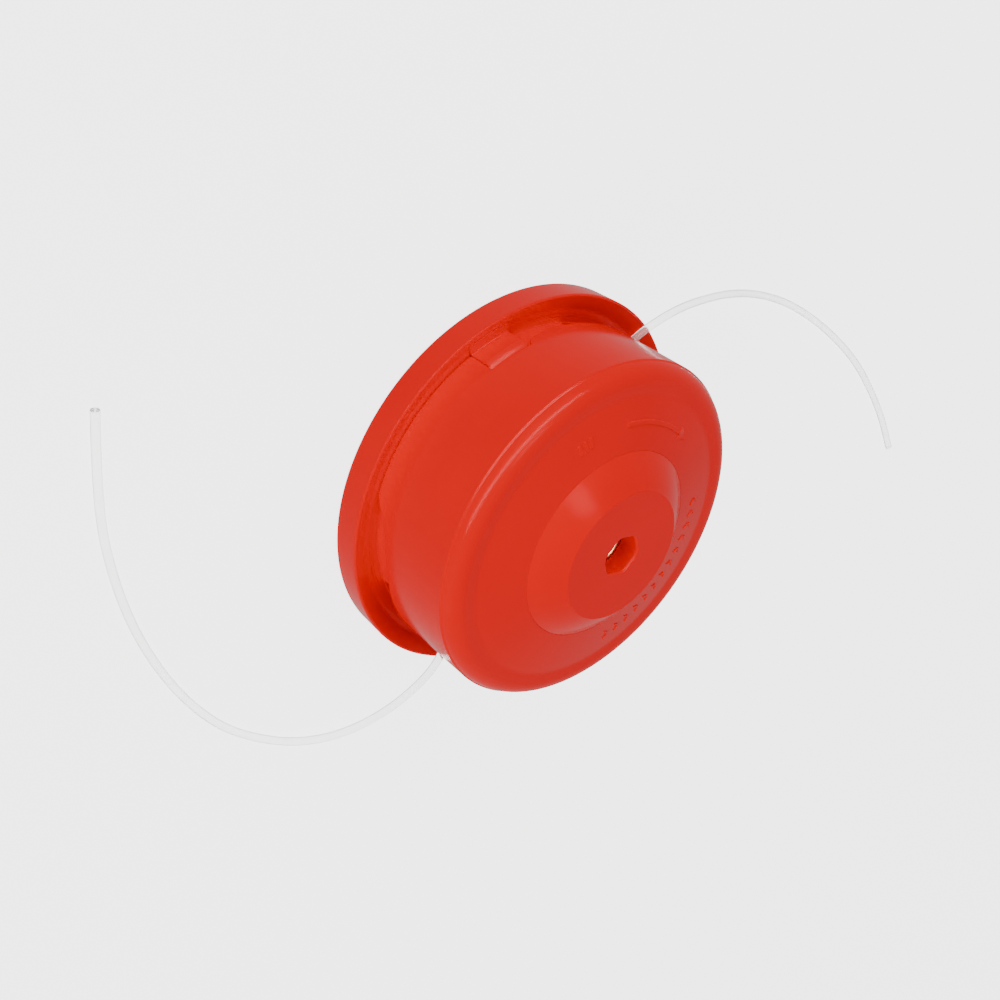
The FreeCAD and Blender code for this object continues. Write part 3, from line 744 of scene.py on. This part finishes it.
@dataclass
class FreeLine:
    """A free end of cutting line, along the same route as its solid."""

    node: str
    route: tuple[Corner, ...]
    length: float
    diameter: float = 2.4

    def build(self) -> None:
        curve = bpy.data.curves.new(self.node.replace("line_end", "free_line"), "CURVE")
        curve.dimensions = "3D"
        spline = curve.splines.new("NURBS")
        spline.points.add(len(self.route) - 1)
        places = np.ones((len(self.route), 4))
        places[:, :3] = np.array(self.route) * MM
        spline.points.foreach_set("co", places.ravel())
        spline.order_u = 3
        spline.use_endpoint_u = True
        spline.resolution_u = 16
        curve.bevel_depth = self.diameter * MM / 2
        curve.bevel_resolution = 6
        curve.use_fill_caps = True
        piece = add_piece(curve, Body.HOUSING, Slot.LINE, self.node)


FREE_LINES = (
    FreeLine("line_end_a", (
        (33.6, 33.9, 10.4), (37.6, 38.2, 11.2), (42.6, 42.2, 12.4), (50.2, 45.6, 12.4),
        (62.0, 50.0, 10.0), (75.5, 51.6, 6.0), (88.5, 46.6, 2.8), (99.5, 35.5, 1.3),
        (109.5, 19.5, 1.3), (117.0, -4.0, 1.3), (120.6, -32.0, 1.3), (119.0, -60.0, 1.3),
        (114.0, -81.0, 1.3), (107.9, -99.1, 1.3)), 0.2173),
    FreeLine("line_end_b", (
        (-42.1, -22.4, 10.4), (-47.6, -25.4, 11.2), (-54.5, -27.2, 12.4), (-63.5, -26.4, 12.2),
        (-75.0, -21.8, 10.0), (-93.5, -11.6, 6.0), (-111.0, 1.6, 2.8), (-127.0, 17.0, 1.3),
        (-143.5, 38.0, 1.3), (-158.4, 61.8, 1.3), (-168.2, 84.2, 1.3), (-175.2, 104.0, 1.3),
        (-178.8, 119.5, 1.3)), 0.2168),
)


@dataclass
class Housing:
    """Flange with its rim and gutter, slotted collar, hub and ribbed back."""

    bore: float = 8.55
    radius: float = 60.0
    back_radius: float = 59.4
    front: float = 9.3
    brim: tuple[float, float] = (59.2, 9.15)
    trough: tuple[float, float] = (54.6, 6.7)
    floor: float = 5.2
    bench: float = 48.0
    hub: float = 13.0
    hub_top: float = 12.0
    pockets: tuple[float, float] = (19.0, 50.0)
    pocket_depth: float = 2.4
    rib_pitch: float = 30.0
    rib_half: float = 2.5
    tab_half: float = 7.5
    tab_lip: float = 56.0
    tab_lip_top: float = 7.4
    tab_floor: float = 3.9
    well: tuple[float, float] = (52.53, 55.85)
    well_low: float = 2.3
    shelf_end: float = 51.3
    collar: float = 50.3
    collar_wall: float = 2.0
    collar_top: float = 14.8
    collar_gap: float = 8.0
    collar_ease: float = 0.25
    slot_low: float = 7.0
    slot_high: float = 12.6
    slots: tuple[tuple[float, float], ...] = ((4.0, 60.0), (184.0, 240.0))

    def profile(self, pocket: bool, tab: bool) -> Array:
        """Section of the flange and the hub at one angle.

        Where there is no pocket or no tab, its corners stay in the section with
        next to no depth, so that every section has the same points.

        Args:
            pocket: Whether the back has its pocket there.
            tab: Whether a latch tab stands there.

        Returns:
            Points of radius and height.
        """
        deep, ease = (self.pocket_depth, 0.3) if pocket else (0.02, 0.003)
        low, shelf, well = self.trough[1], self.tab_floor, self.well_low
        near, far = self.well
        if tab:
            gutter = [
                (self.tab_lip, self.tab_lip_top, 0.2), (self.tab_lip, shelf, 0.1),
                (far + 0.03, shelf - 0.005, 0.04), (far, well, 0.15), (near, well, 0.15),
                (near - 0.03, shelf - 0.005, 0.15), (self.shelf_end + 0.05, shelf, 0.15),
                (self.shelf_end, low, 0.15)]
        else:
            gutter = [(*self.trough, 2.5), *(
                (self.shelf_end + 2 - 0.3 * step, low - 0.0005 * dips, 0.001)
                for step, dips in enumerate((1, 2, 3, 3, 2, 1))), (self.shelf_end, low, 0.001)]
        near, far = self.pockets
        return section([
            (self.bore, 0, 0.2), (near - 0.05, 0, ease), (near + 0.05, deep, ease),
            (far - 0.05, deep, ease), (far + 0.05, 0, ease), (self.back_radius, 0, 0.6),
            (self.radius, self.front, 0.45), (*self.brim, 0.3), *gutter,
            (self.bench, low, 0.1), (self.bench - 0.05, self.floor, 0.02),
            (self.hub, self.floor, 0.6), (self.hub, self.hub_top, 0.4),
            (self.bore, self.hub_top, 0.2)])

    def shell(self) -> Array:
        """Work out the flange and the hub, with the section of each angle.

        Returns:
            Grid of points.
        """
        ribs = np.arange(0, 360, self.rib_pitch)
        tabs = np.array(TAB_ANGLES)
        angles = stepped(360, np.concatenate([
            ribs - self.rib_half, ribs + self.rib_half,
            tabs - self.tab_half, tabs + self.tab_half]))
        half = self.rib_pitch / 2
        pocket = np.abs((angles + half) % self.rib_pitch - half) > self.rib_half
        tab = from_tab(angles) < self.tab_half
        kinds = np.stack([self.profile(*kind) for kind in (
            (False, False), (False, True), (True, False), (True, True))])
        return turned(kinds[pocket * 2 + tab], angles)

    def collar_sheet(self) -> Mesh:
        """Make the outside of the collar, without the line slots and the tabs' gaps.

        Returns:
            The mesh.
        """
        tabs = np.array(TAB_ANGLES) % 360
        angles = np.unique(np.concatenate([
            around(180), np.ravel(self.slots), tabs - self.collar_gap, tabs + self.collar_gap]))
        heights = np.array([self.floor - 0.2, self.slot_low, self.slot_high, self.collar_top])
        profile = np.column_stack([np.full(len(heights), self.collar), heights])
        middle = (angles + np.append(angles[1:], 360)) / 2
        wall = from_tab(middle) > self.collar_gap
        keep = np.repeat(wall[:, None], len(heights) - 1, axis=1)
        for first, last in self.slots:
            keep[(middle > first) & (middle < last), 1] = False
        return sheet_mesh("collar_wall", turned(profile, angles), keep)

    def gussets(self) -> list[Array]:
        """Grids of the six gussets that stand against the hub."""
        return six_sectors([
            (12.5, 4.7, 0.1), (15.4, 4.7, 0.1), (15.4, 5.4, 0.2), (12.5, 10.6, 0.2)],
            30.0, 9.0, 0.2)

    def build(self) -> None:
        """Make the housing's pieces."""
        where = Body.HOUSING, Slot.SHELL, "upper_housing"
        add_grids("flange_and_hub", [self.shell()], *where)
        add_grids("hub_gussets", self.gussets(), *where, False)
        collar = add_piece(self.collar_sheet(), *where)
        solid = collar.modifiers.new("wall", "SOLIDIFY")
        solid.thickness = self.collar_wall * MM
        solid.offset = -1
        bevel = collar.modifiers.new("eased", "BEVEL")
        bevel.width = self.collar_ease * MM
        bevel.segments = 2
        bevel.limit_method = "ANGLE"
        bevel.angle_limit = SHARP_BEND
        bevel.harden_normals = True


@dataclass
class PushTab:
    """Latch tab that stands in the flange and snaps into the cup's wall."""

    node: str
    body: Body
    angle: float
    span: float = 14.7
    nose_span: float = 9.0

    def leaf(self) -> Array:
        """Grid of the leaf: round root, scoop up to the face, bevel and tongue."""
        return sector([
            (52.7, 2.4, 1.4), (55.7, 2.4, 1.4), (55.7, 6.2, 0.5), (55.95, 6.7, 0.3),
            (55.95, 7.45, 0.15), (52.6, 7.0, 0.6), (53.55, 13.4, 1.0), (52.4, 14.88, 8.0),
            (50.95, 16.0, 0.9), (50.3, 16.0, 0.15), (50.3, 22.4, 0.4), (48.5, 22.4, 0.4),
            (48.5, 14.8, 0.8), (50.4, 11.8, 0.8)], self.angle, self.span, 0.3)

    def nose(self) -> Array:
        """Grid of the snap nose near the tongue's end."""
        return sector([
            (49.8, 19.2, 0.1), (51.6, 19.2, 0.2), (51.6, 20.2, 0.3), (50.2, 22.3, 0.1),
            (49.8, 22.3, 0.1)], self.angle, self.nose_span, 0.2)

    def build(self) -> None:
        """Make the tab."""
        name = self.node.replace("latch", "push")
        add_grids(name, [self.leaf(), self.nose()], self.body, Slot.SHELL, self.node, False)


@dataclass
class Cup:
    """Lower cover: wall with windows and notches, rolled shoulder, dished face."""

    radius: float = 53.75
    rim_radius: float = 53.1
    inner: float = 50.5
    wall: float = 2.6
    rim: float = 6.9
    height: float = 43.1
    crease: float = 38.6
    crease_step: tuple[float, float] = (0.45, 0.5)
    crown_reach: float = 52.145
    crown_round: float = 5.24
    ring_inner: float = 47.3
    groove: tuple[float, float] = (44.9, 43.06)
    dish_edge: float = 46.15
    face: float = 42.1
    dish_rise: float = 4.4
    opening: float = 29.65
    wall_top: float = 18.0
    band_top: float = 13.4
    band_inset: float = 0.25
    window_top: float = 12.95
    notch_top: float = 16.3
    notch_half: float = 7.5
    pockets: tuple[float, float] = (18.9, 23.0)
    pocket_half: float = 6.3
    pocket_deep: float = 1.4
    edge: float = 0.35
    fan: float = 0.05
    rim_step: float = 1.4

    def outer_radius(self, height: Array) -> Array:
        """Radius of the wall's outside: a drafted cone with a band pulled in at its foot.

        Args:
            height: Heights.

        Returns:
            Radius at each height.
        """
        cone = np.interp(height, [self.band_top, self.crease], [self.rim_radius, self.radius])
        below = np.clip((self.band_top - height) / (self.band_top - self.rim), 0, 1)
        return cone - self.band_inset * below ** 2

    def openings(self) -> Array:
        """Corners of the rim with its windows and its notches for the tabs.

        Returns:
            Angle, height, arc radius and lean of the fan at each corner.
        """
        first, last = 90 - self.notch_half, 90 + self.notch_half
        half = np.array([
            (-31.5, self.rim, 1.5, 0), (-22.5, self.window_top, 6.0, 0),
            (-8.0, self.window_top + 1.9, 14.0, 0), (14.0, self.window_top + 0.2, 14.0, 0),
            (first - 10.0, self.window_top, 6.0, 0),
            (first - 1.5, self.notch_top - 2.0, 1.2, 0), (first, self.notch_top, 0.4, -1),
            (last, self.notch_top, 0.8, 1), (last, self.rim, 0.8, 1)])
        return np.concatenate([half, half + (180, 0, 0, 0)])

    def rim_path(self) -> tuple[Array, Array, Array]:
        """Rim outline on the unrolled wall.

        Returns:
            Places (length round, height), directions into the wall, and lean.
        """
        table = self.openings()
        flat = table[:, :2].copy()
        flat[:, 0] *= math.radians(1) * self.rim_radius
        period = 2 * math.pi * self.rim_radius
        points, ways = rounded_corners(flat, table[:, 2], period, 5)
        lean = np.repeat(table[:, 3], len(points) // len(table))
        rows = np.column_stack([points, ways, lean])
        rows = np.concatenate([rows, rows[:1] + (period, 0, 0, 0, 0)])
        lengths = np.linalg.norm(np.diff(rows[:, :2], axis=0), axis=1)
        rows = divided(rows, np.maximum(1, np.ceil(lengths / self.rim_step)).astype(int))
        ways = unit(rows[:, 2:4])
        return rows[:, :2], np.column_stack([-ways[:, 1], ways[:, 0]]), rows[:, 4]

    def shell(self) -> Array:
        """Work out the cup: round the rim outline, and across the wall's section.

        The section runs from the wall's top line down the outside to the rim,
        round its eased edge, up the inside, and back over the shoulder and the
        dished face. Columns start at the rim and lean to even places higher up.

        Returns:
            Grid of points.
        """
        places, inward, lean = self.rim_path()
        top = places[:, 0] + self.fan * lean * (self.wall_top - places[:, 1])
        start = places + inward * self.edge
        goal = np.column_stack([top, np.full(len(top), self.wall_top)])
        share = np.linspace(0, 1, 7)[1:-1, None, None]
        rows = start[None] * (1 - share) + goal[None] * share
        quarter = np.radians(np.linspace(0, 90, 5))[:, None, None]
        eased = places[None] + inward[None] * self.edge * (1 - np.sin(quarter))
        depth = np.broadcast_to(self.edge * (1 - np.cos(quarter)), eased.shape)[..., 0]
        down = np.concatenate([rows[::-1], eased])
        sunk = np.concatenate([np.zeros(rows.shape[:2]), depth])
        outside = np.dstack([down[..., 0], self.outer_radius(down[..., 1]) - sunk, down[..., 1]])
        inside = np.dstack([down[..., 0], self.inner + sunk, down[..., 1]])[::-1]
        degrees = np.degrees(top / self.rim_radius)
        pocket = (from_tab(degrees) < self.pocket_half).astype(int)
        crown = np.stack([self.crown(0.02, 0.003), self.crown(self.pocket_deep, 0.2)])[pocket]
        along = np.broadcast_to(top[:, None, None], crown.shape[:2] + (1,))
        over = np.concatenate([along, crown], axis=-1).transpose(1, 0, 2)
        length, radius, height = np.concatenate([outside, inside, over]).transpose(2, 1, 0)
        angle = length / self.rim_radius
        return np.stack([radius * np.cos(angle), radius * np.sin(angle), height], axis=-1)

    def crown(self, pocket: float, ease: float) -> Array:
        """Section above the wall's top line, from the inside over to the outside.

        Args:
            pocket: Depth of the snap nose's pocket in the inside.
            ease: Radius of the pocket's corners.

        Returns:
            Points of radius and height.
        """
        outer = float(self.outer_radius(np.array(self.wall_top)))
        lip = self.face + self.dish_rise
        step_in, step_up = self.crease_step
        low, high = self.pockets
        return section([
            (self.inner, self.wall_top, 0.1),
            (self.inner, low - 0.05, ease), (self.inner + pocket, low + 0.05, ease),
            (self.inner + pocket, high - 0.05, ease), (self.inner, high + 0.05, ease),
            (self.inner, self.face - self.wall, 3.4),
            (self.dish_edge, self.face - self.wall, 2.0),
            (self.opening, lip - self.wall, 0.3), (self.opening, lip, 0.04),
            (*self.groove, 6.0), (self.ring_inner, self.height, 3.9),
            (self.crown_reach, self.height, self.crown_round),
            (self.radius - step_in, self.crease + step_up, 0.1),
            (self.radius, self.crease, 0.15), (outer, self.wall_top, 0.1)], 9, closed=False)

    def inner_forms(self) -> list[Array]:
        """Work out the six ribs down the wall and the six lugs under the face.

        Returns:
            Grids of points.
        """
        ribs = [(48.6, 14.9, 0.3), (50.9, 14.9, 0.1), (50.9, 33.0, 0.1), (48.6, 33.0, 0.6)]
        lugs = [(32.5, 37.9, 0.4), (39.0, 37.9, 0.4), (39.0, 42.6, 0.1), (32.5, 43.9, 0.1)]
        return six_sectors(ribs, 0.0, 2.4) + six_sectors(lugs, 0.0, 14.0)

    def build(self) -> None:
        """Make the cup and the forms inside it."""
        where = Body.COVER, Slot.SHELL, "cup"
        add_grids("cup_shell", [self.shell()], *where)
        add_grids("cup_ribs_and_lugs", self.inner_forms(), *where, False)


@dataclass
class FaceMarks:
    """Plain raised arrow, chevrons and ticks on the cup's dished face."""

    middle: float = 37.6
    band: float = 1.2
    head: float = 3.4
    head_span: float = 6.0
    point: float = 0.15
    stroke: float = 0.75
    tall: float = 3.2
    rise: float = 0.3
    dish_low: float = 43.06
    dish_edge: float = 44.9
    dish_slope: float = 0.2256
    arrow_ends: tuple[float, float] = (-112.0, -156.0)
    arrow_steps: tuple[int, int] = (40, 8)
    chevrons: tuple[float, float, int] = (85.0, 163.0, 13)
    ticks: tuple[float, ...] = (-91.5, -88.5, -85.5)

    def raised(self, angles: Array, widths: Array, middles: Array) -> Array:
        """Grid of a raised mark that follows the face.

        Args:
            angles: Stations along the mark, in degrees.
            widths: Width at each station.
            middles: Radius of its middle at each station.

        Returns:
            Grid of points.
        """
        across = np.array([-1.0, -1.0, -0.9, 0.9, 1.0, 1.0]) / 2
        rise = np.array([-0.3, 0.6 * self.rise, self.rise, self.rise, 0.6 * self.rise, -0.3])
        radius = middles[:, None] + across[None] * widths[:, None]
        height = self.dish_low + (self.dish_edge - radius) * self.dish_slope + rise[None]
        return turned(np.stack([radius, height], axis=-1), angles)

    def arrow(self) -> Array:
        """Work out a curved arrow: an even band, then a head that narrows to its tip.

        Returns:
            Grid of points.
        """
        shaft, wedge = self.arrow_steps
        first, last = self.arrow_ends
        tip = math.copysign(self.head_span, last - first)
        angles = np.concatenate([
            np.linspace(first, last - tip, shaft), np.linspace(last - tip * 0.99, last, wedge)])
        widths = np.concatenate([
            np.full(shaft, self.band), np.linspace(self.head, self.point, wedge)])
        return self.raised(angles, widths, np.full(shaft + wedge, self.middle))

    def chevron(self, at: float) -> list[Array]:
        """Work out the two strokes of a chevron that points towards larger angles.

        Args:
            at: Angle where it stands, in degrees.

        Returns:
            Grids of points.
        """
        angles = np.linspace(at - 1.0, at + 1.4, 6)
        half = np.linspace(self.tall / 2, self.point, 6)
        return [self.raised(angles, np.full(6, self.stroke), self.middle + side * half)
                for side in (-1, 1)]

    def build(self) -> None:
        """Make the marks."""
        grids = [self.arrow()]
        for at in np.linspace(*self.chevrons):
            grids += self.chevron(float(at))
        for at in self.ticks:
            ends = np.linspace(at - 0.6, at + 0.6, 4)
            grids.append(self.raised(ends, np.full(4, self.tall), np.full(4, self.middle)))
        add_grids("face_marks", grids, Body.COVER, Slot.SHELL, "cup", False)


@dataclass
class BumpKnob:
    """Centre boss with its hexagonal socket."""

    radius: float = 29.6
    top_radius: float = 20.4
    base: float = 37.6
    face: float = 46.5
    height: float = 53.1
    ceiling: float = 46.1
    wall: float = 2.4
    flank_middle: tuple[float, float] = (25.2, 50.08)
    flank_round: float = 60.0
    socket_half: float = 5.75
    socket_low: float = 46.55
    socket_round: float = 0.6
    post: float = 10.5
    post_low: float = 29.7
    bore: float = 7.55

    def hexagon(self, angles: Array) -> Array:
        """Radius of a hexagon with round corners, as a share of its half width.

        A corner's arc of radius q has its centre at c = (1 - q) / cos 30 from
        the middle and meets the sides at atan(c / 2) from their middles.

        Args:
            angles: Angles in degrees.

        Returns:
            Radius at each angle.
        """
        folded = np.abs((angles + 30) % 60 - 30)
        centre = (1 - self.socket_round) / math.cos(math.radians(30))
        past = np.radians(30 - folded)
        inside = np.maximum(self.socket_round ** 2 - (centre * np.sin(past)) ** 2, 0)
        arc = centre * np.cos(past) + np.sqrt(inside)
        flat = 1 / np.cos(np.radians(folded))
        return np.where(folded > math.degrees(math.atan(centre / 2)), arc, flat)

    def shell(self) -> Array:
        """Work out the knob, whose socket's points follow the hexagon at each angle.

        Returns:
            Grid of points.
        """
        inner = self.radius - self.wall
        profile = section([
            (inner, self.base, 0.3), (self.radius, self.base, 0.4),
            (self.radius, self.face - 0.03, 0.06), (*self.flank_middle, self.flank_round),
            (self.top_radius, self.height, 0.35), (self.socket_half + 0.5, self.height, 0.3),
            (self.socket_half, self.height - 0.6, 0.3), (self.socket_half, self.socket_low, 0.2),
            (self.bore, self.socket_low, 0.2), (self.bore, self.post_low, 0.3),
            (self.post, self.post_low, 0.4), (self.post, self.ceiling, 1.0),
            (self.top_radius - self.wall, self.ceiling, 1.5), (inner, self.face - 4.0, 1.5)], 7)
        angles = around(240)
        grid = np.repeat(profile[None], len(angles), axis=0)
        socket = (profile[:, 0] < self.socket_half + 1.2) & (profile[:, 1] > self.socket_low - 0.1)
        grid[:, socket, 0] *= self.hexagon(angles)[:, None]
        return turned(grid, angles)

    def ribs(self) -> list[Array]:
        """Grids of the six ribs between the post and the wall."""
        return six_sectors([
            (10.2, 37.8, 0.3), (27.4, 37.8, 0.3), (27.4, 43.6, 0.1), (10.2, 43.6, 0.1)], 0.0, 5.0)

    def build(self) -> None:
        """Make the knob."""
        where = Body.REEL, Slot.SHELL, "bump_knob"
        add_grids("knob_shell", [self.shell()], *where)
        add_grids("knob_ribs", self.ribs(), *where, False)


@dataclass
class Drive:
    """Arbor with its thread and journal, the washer, the feed spring and the bush."""

    spring_radius: float = 11.4
    wire: float = 1.4
    coils: float = 5.0
    turn_steps: int = 60
    end_pitch: float = 0.55
    spring_low: float = 13.75
    spring_high: float = 26.25
    spring_foot: float = 13.05
    spring_keep: float = 0.712
    thread_radius: float = 4.33
    thread_ends: tuple[float, float] = (0.8, 17.5)
    thread_pitch: float = 1.25
    thread_rise: float = 0.55

    def spring(self) -> Array:
        """Work out the spring: a helix whose end turns are flatter.

        Returns:
            Grid of points.
        """
        turns = np.linspace(0, self.coils, int(self.coils * self.turn_steps) + 1)
        low, high, flat = self.spring_low, self.spring_high, self.wire * self.end_pitch
        height = np.interp(turns, [0, 0.5, self.coils - 0.5, self.coils],
                           [low, low + flat, high - flat, high])
        return coil(turns, np.full(len(turns), self.spring_radius), height, self.wire, 14)

    def arbor(self) -> Array:
        """Work out the arbor, whose bore carries a left-hand thread.

        The thread's depth at a height z and an angle a is a triangle wave of
        z / pitch + a / 360, faded out at both ends of the bore.

        Returns:
            Grid of points.
        """
        low, high = self.thread_ends
        rows = np.arange(high, low, -self.thread_pitch / 8)
        outside = section([
            (self.thread_radius, 0.2, 0.1), (8.5, 0.2, 0.3), (8.5, 22.0, 0.5), (5.0, 22.0, 0.3),
            (5.0, 39.2, 0.3), (4.2, 40.0, 0.2), (2.0, 40.0, 0.2), (2.0, 20.0, 0.2),
            (self.thread_radius, 18.0, 0.2)], 3)
        bore = np.column_stack([np.full(len(rows), self.thread_radius), rows])
        angles = around(96)
        grid = np.repeat(np.concatenate([outside, bore])[None], len(angles), axis=0)
        wave = np.abs((rows[None] / self.thread_pitch + angles[:, None] / 360) % 1 * 2 - 1)
        fade = np.clip(np.minimum(rows - low, high - rows), 0, 1)
        grid[:, len(outside):, 0] += self.thread_rise * wave * fade[None]
        return turned(grid, angles)

    def bush(self) -> Array:
        """Grid of the bush: a tube with eased mouths."""
        corners = [(5.05, 29.9, 0.3), (7.5, 29.9, 0.3), (7.5, 46.2, 0.5), (5.05, 46.2, 0.5)]
        return turned(section(corners), around(96))

    def washer(self) -> Array:
        """Grid of the washer: a flat ring with stamped edges."""
        corners = [(8.9, 12.0, 0.1), (13.6, 12.0, 0.1), (13.6, 13.0, 0.25), (8.9, 13.0, 0.25)]
        return turned(section(corners), around(96))

    def build(self) -> None:
        """Make the pieces round the axis."""
        add_grids("arbor_bar", [self.arbor()], Body.HOUSING, Slot.STEEL, "drive_arbor")
        add_grids("bush_tube", [self.bush()], Body.BUSH, Slot.BRASS, "bearing_bush")
        add_grids("washer_ring", [self.washer()], Body.HOUSING, Slot.STEEL, "spring_washer")
        spring = add_grids("spring_coil", [self.spring()], Body.HOUSING, Slot.SPRING,
                           "feed_spring", False)
        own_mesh(spring)


@dataclass
class Reel:
    """Spool and the line wound in its two chambers."""

    bore: float = 16.0
    core: float = 18.5
    radius: float = 46.3
    plates: tuple[float, float, float] = (9.6, 22.9, 36.1)
    plate: float = 1.5
    web: tuple[float, float] = (27.0, 29.6)
    web_bore: float = 6.2
    notch_radius: float = 41.8
    notch_half: float = 3.5
    notches: tuple[float, float] = (32.0, 212.0)
    outer: float = 39.15
    line: float = 2.4
    line_gap: float = 0.05
    layers: int = 3
    nesting: float = 0.9
    play: float = 0.1
    turn_back: float = 0.4
    turn_steps: int = 72

    def profile(self, divider: float) -> Array:
        """Section of the spool at one angle.

        Args:
            divider: Radius where its divider ends there.

        Returns:
            Points of radius and height.
        """
        low, middle, high = self.plates
        web_low, web_high = self.web
        ease, root = 0.45, 0.8
        return section([
            (self.bore, low, 0.4), (self.radius, low, ease), (self.radius, low + self.plate, ease),
            (self.core, low + self.plate, root), (self.core, middle, root),
            (divider, middle, ease), (divider, middle + self.plate, ease),
            (self.core, middle + self.plate, root), (self.core, high, root),
            (self.radius, high, ease), (self.radius, high + self.plate, ease),
            (self.bore, high + self.plate, 0.5), (self.bore, web_high, root),
            (self.web_bore, web_high, 0.3), (self.web_bore, web_low, 0.3),
            (self.bore, web_low, root)], 3)

    def spool(self) -> Array:
        """Work out the spool, whose divider has two notches for the line.

        Returns:
            Grid of points.
        """
        places = np.array(self.notches)
        angles = stepped(180, np.concatenate([places - self.notch_half, places + self.notch_half]))
        notched = apart(angles, places) < self.notch_half
        kinds = np.stack([self.profile(self.radius), self.profile(self.notch_radius)])
        return turned(kinds[notched.astype(int)], angles)

    def lugs(self) -> list[Array]:
        """Grids of the six lugs that meet the cup's lugs."""
        return six_sectors([
            (32.5, 37.2, 0.1), (39.0, 37.2, 0.1), (39.0, 40.2, 0.5), (32.5, 40.2, 0.5)], 30.0, 14.0)

    def winding(self, low: float, high: float, start: float) -> Array:
        """Grid of a winding: a circle carried along rising and falling layers.

        Each layer is a helix from one plate to the other, and the radius grows
        by a layer's height while the line turns back at a plate.

        Args:
            low: Lower plate's face.
            high: Upper plate's face.
            start: Angle where the inner end lies, in degrees.

        Returns:
            Grid of points.
        """
        room = high - low - self.line - 2 * self.play
        turns = math.floor(room / (self.line + self.line_gap) * 4) / 4
        total = turns * self.layers
        turn = np.linspace(0, total, int(total * self.turn_steps) + 1)
        share = turn / turns
        height = low + self.play + self.line / 2 + np.abs((share + 1) % 2 - 1) * room
        layer = np.minimum(np.floor(share), self.layers - 1)
        climb = np.clip((share - layer) * turns / self.turn_back, 0, 1)
        depth = self.layers - layer - np.where(layer > 0, climb, 1)
        radius = self.outer - self.line / 2 - np.maximum(depth, 0) * self.line * self.nesting
        return coil(start / 360 + turn, radius, height, self.line, 12)

    def build(self) -> None:
        """Make the spool and its windings."""
        where = Body.REEL, Slot.NYLON, "spool"
        add_grids("spool_form", [self.spool()], *where)
        add_grids("spool_lugs", self.lugs(), *where, False)
        low, middle, high = self.plates
        for name, floor, roof in (("lower", low, middle), ("upper", middle, high)):
            winding = self.winding(floor + self.plate, roof, self.notches[0])
            add_grids("wound_line_" + name, [winding], Body.REEL, Slot.LINE, "winding_" + name,
                      False)


def main() -> None:
    """Build the scene in order."""
    logging.basicConfig(level=logging.INFO, format="%(name)s: %(message)s")
    studio = Studio()
    studio.camera()
    for line in FREE_LINES:
        line.build()
    studio.floor()
    studio.lights()
    tabs = (PushTab("latch_tab_a", Body.TAB_A, -90.0), PushTab("latch_tab_b", Body.TAB_B, 90.0))
    for assembly in (Housing(), *tabs, Cup(), FaceMarks(), BumpKnob(), Drive(), Reel()):
        assembly.build()
    bpy.context.view_layer.update()


if __name__ == "__main__":
    main()
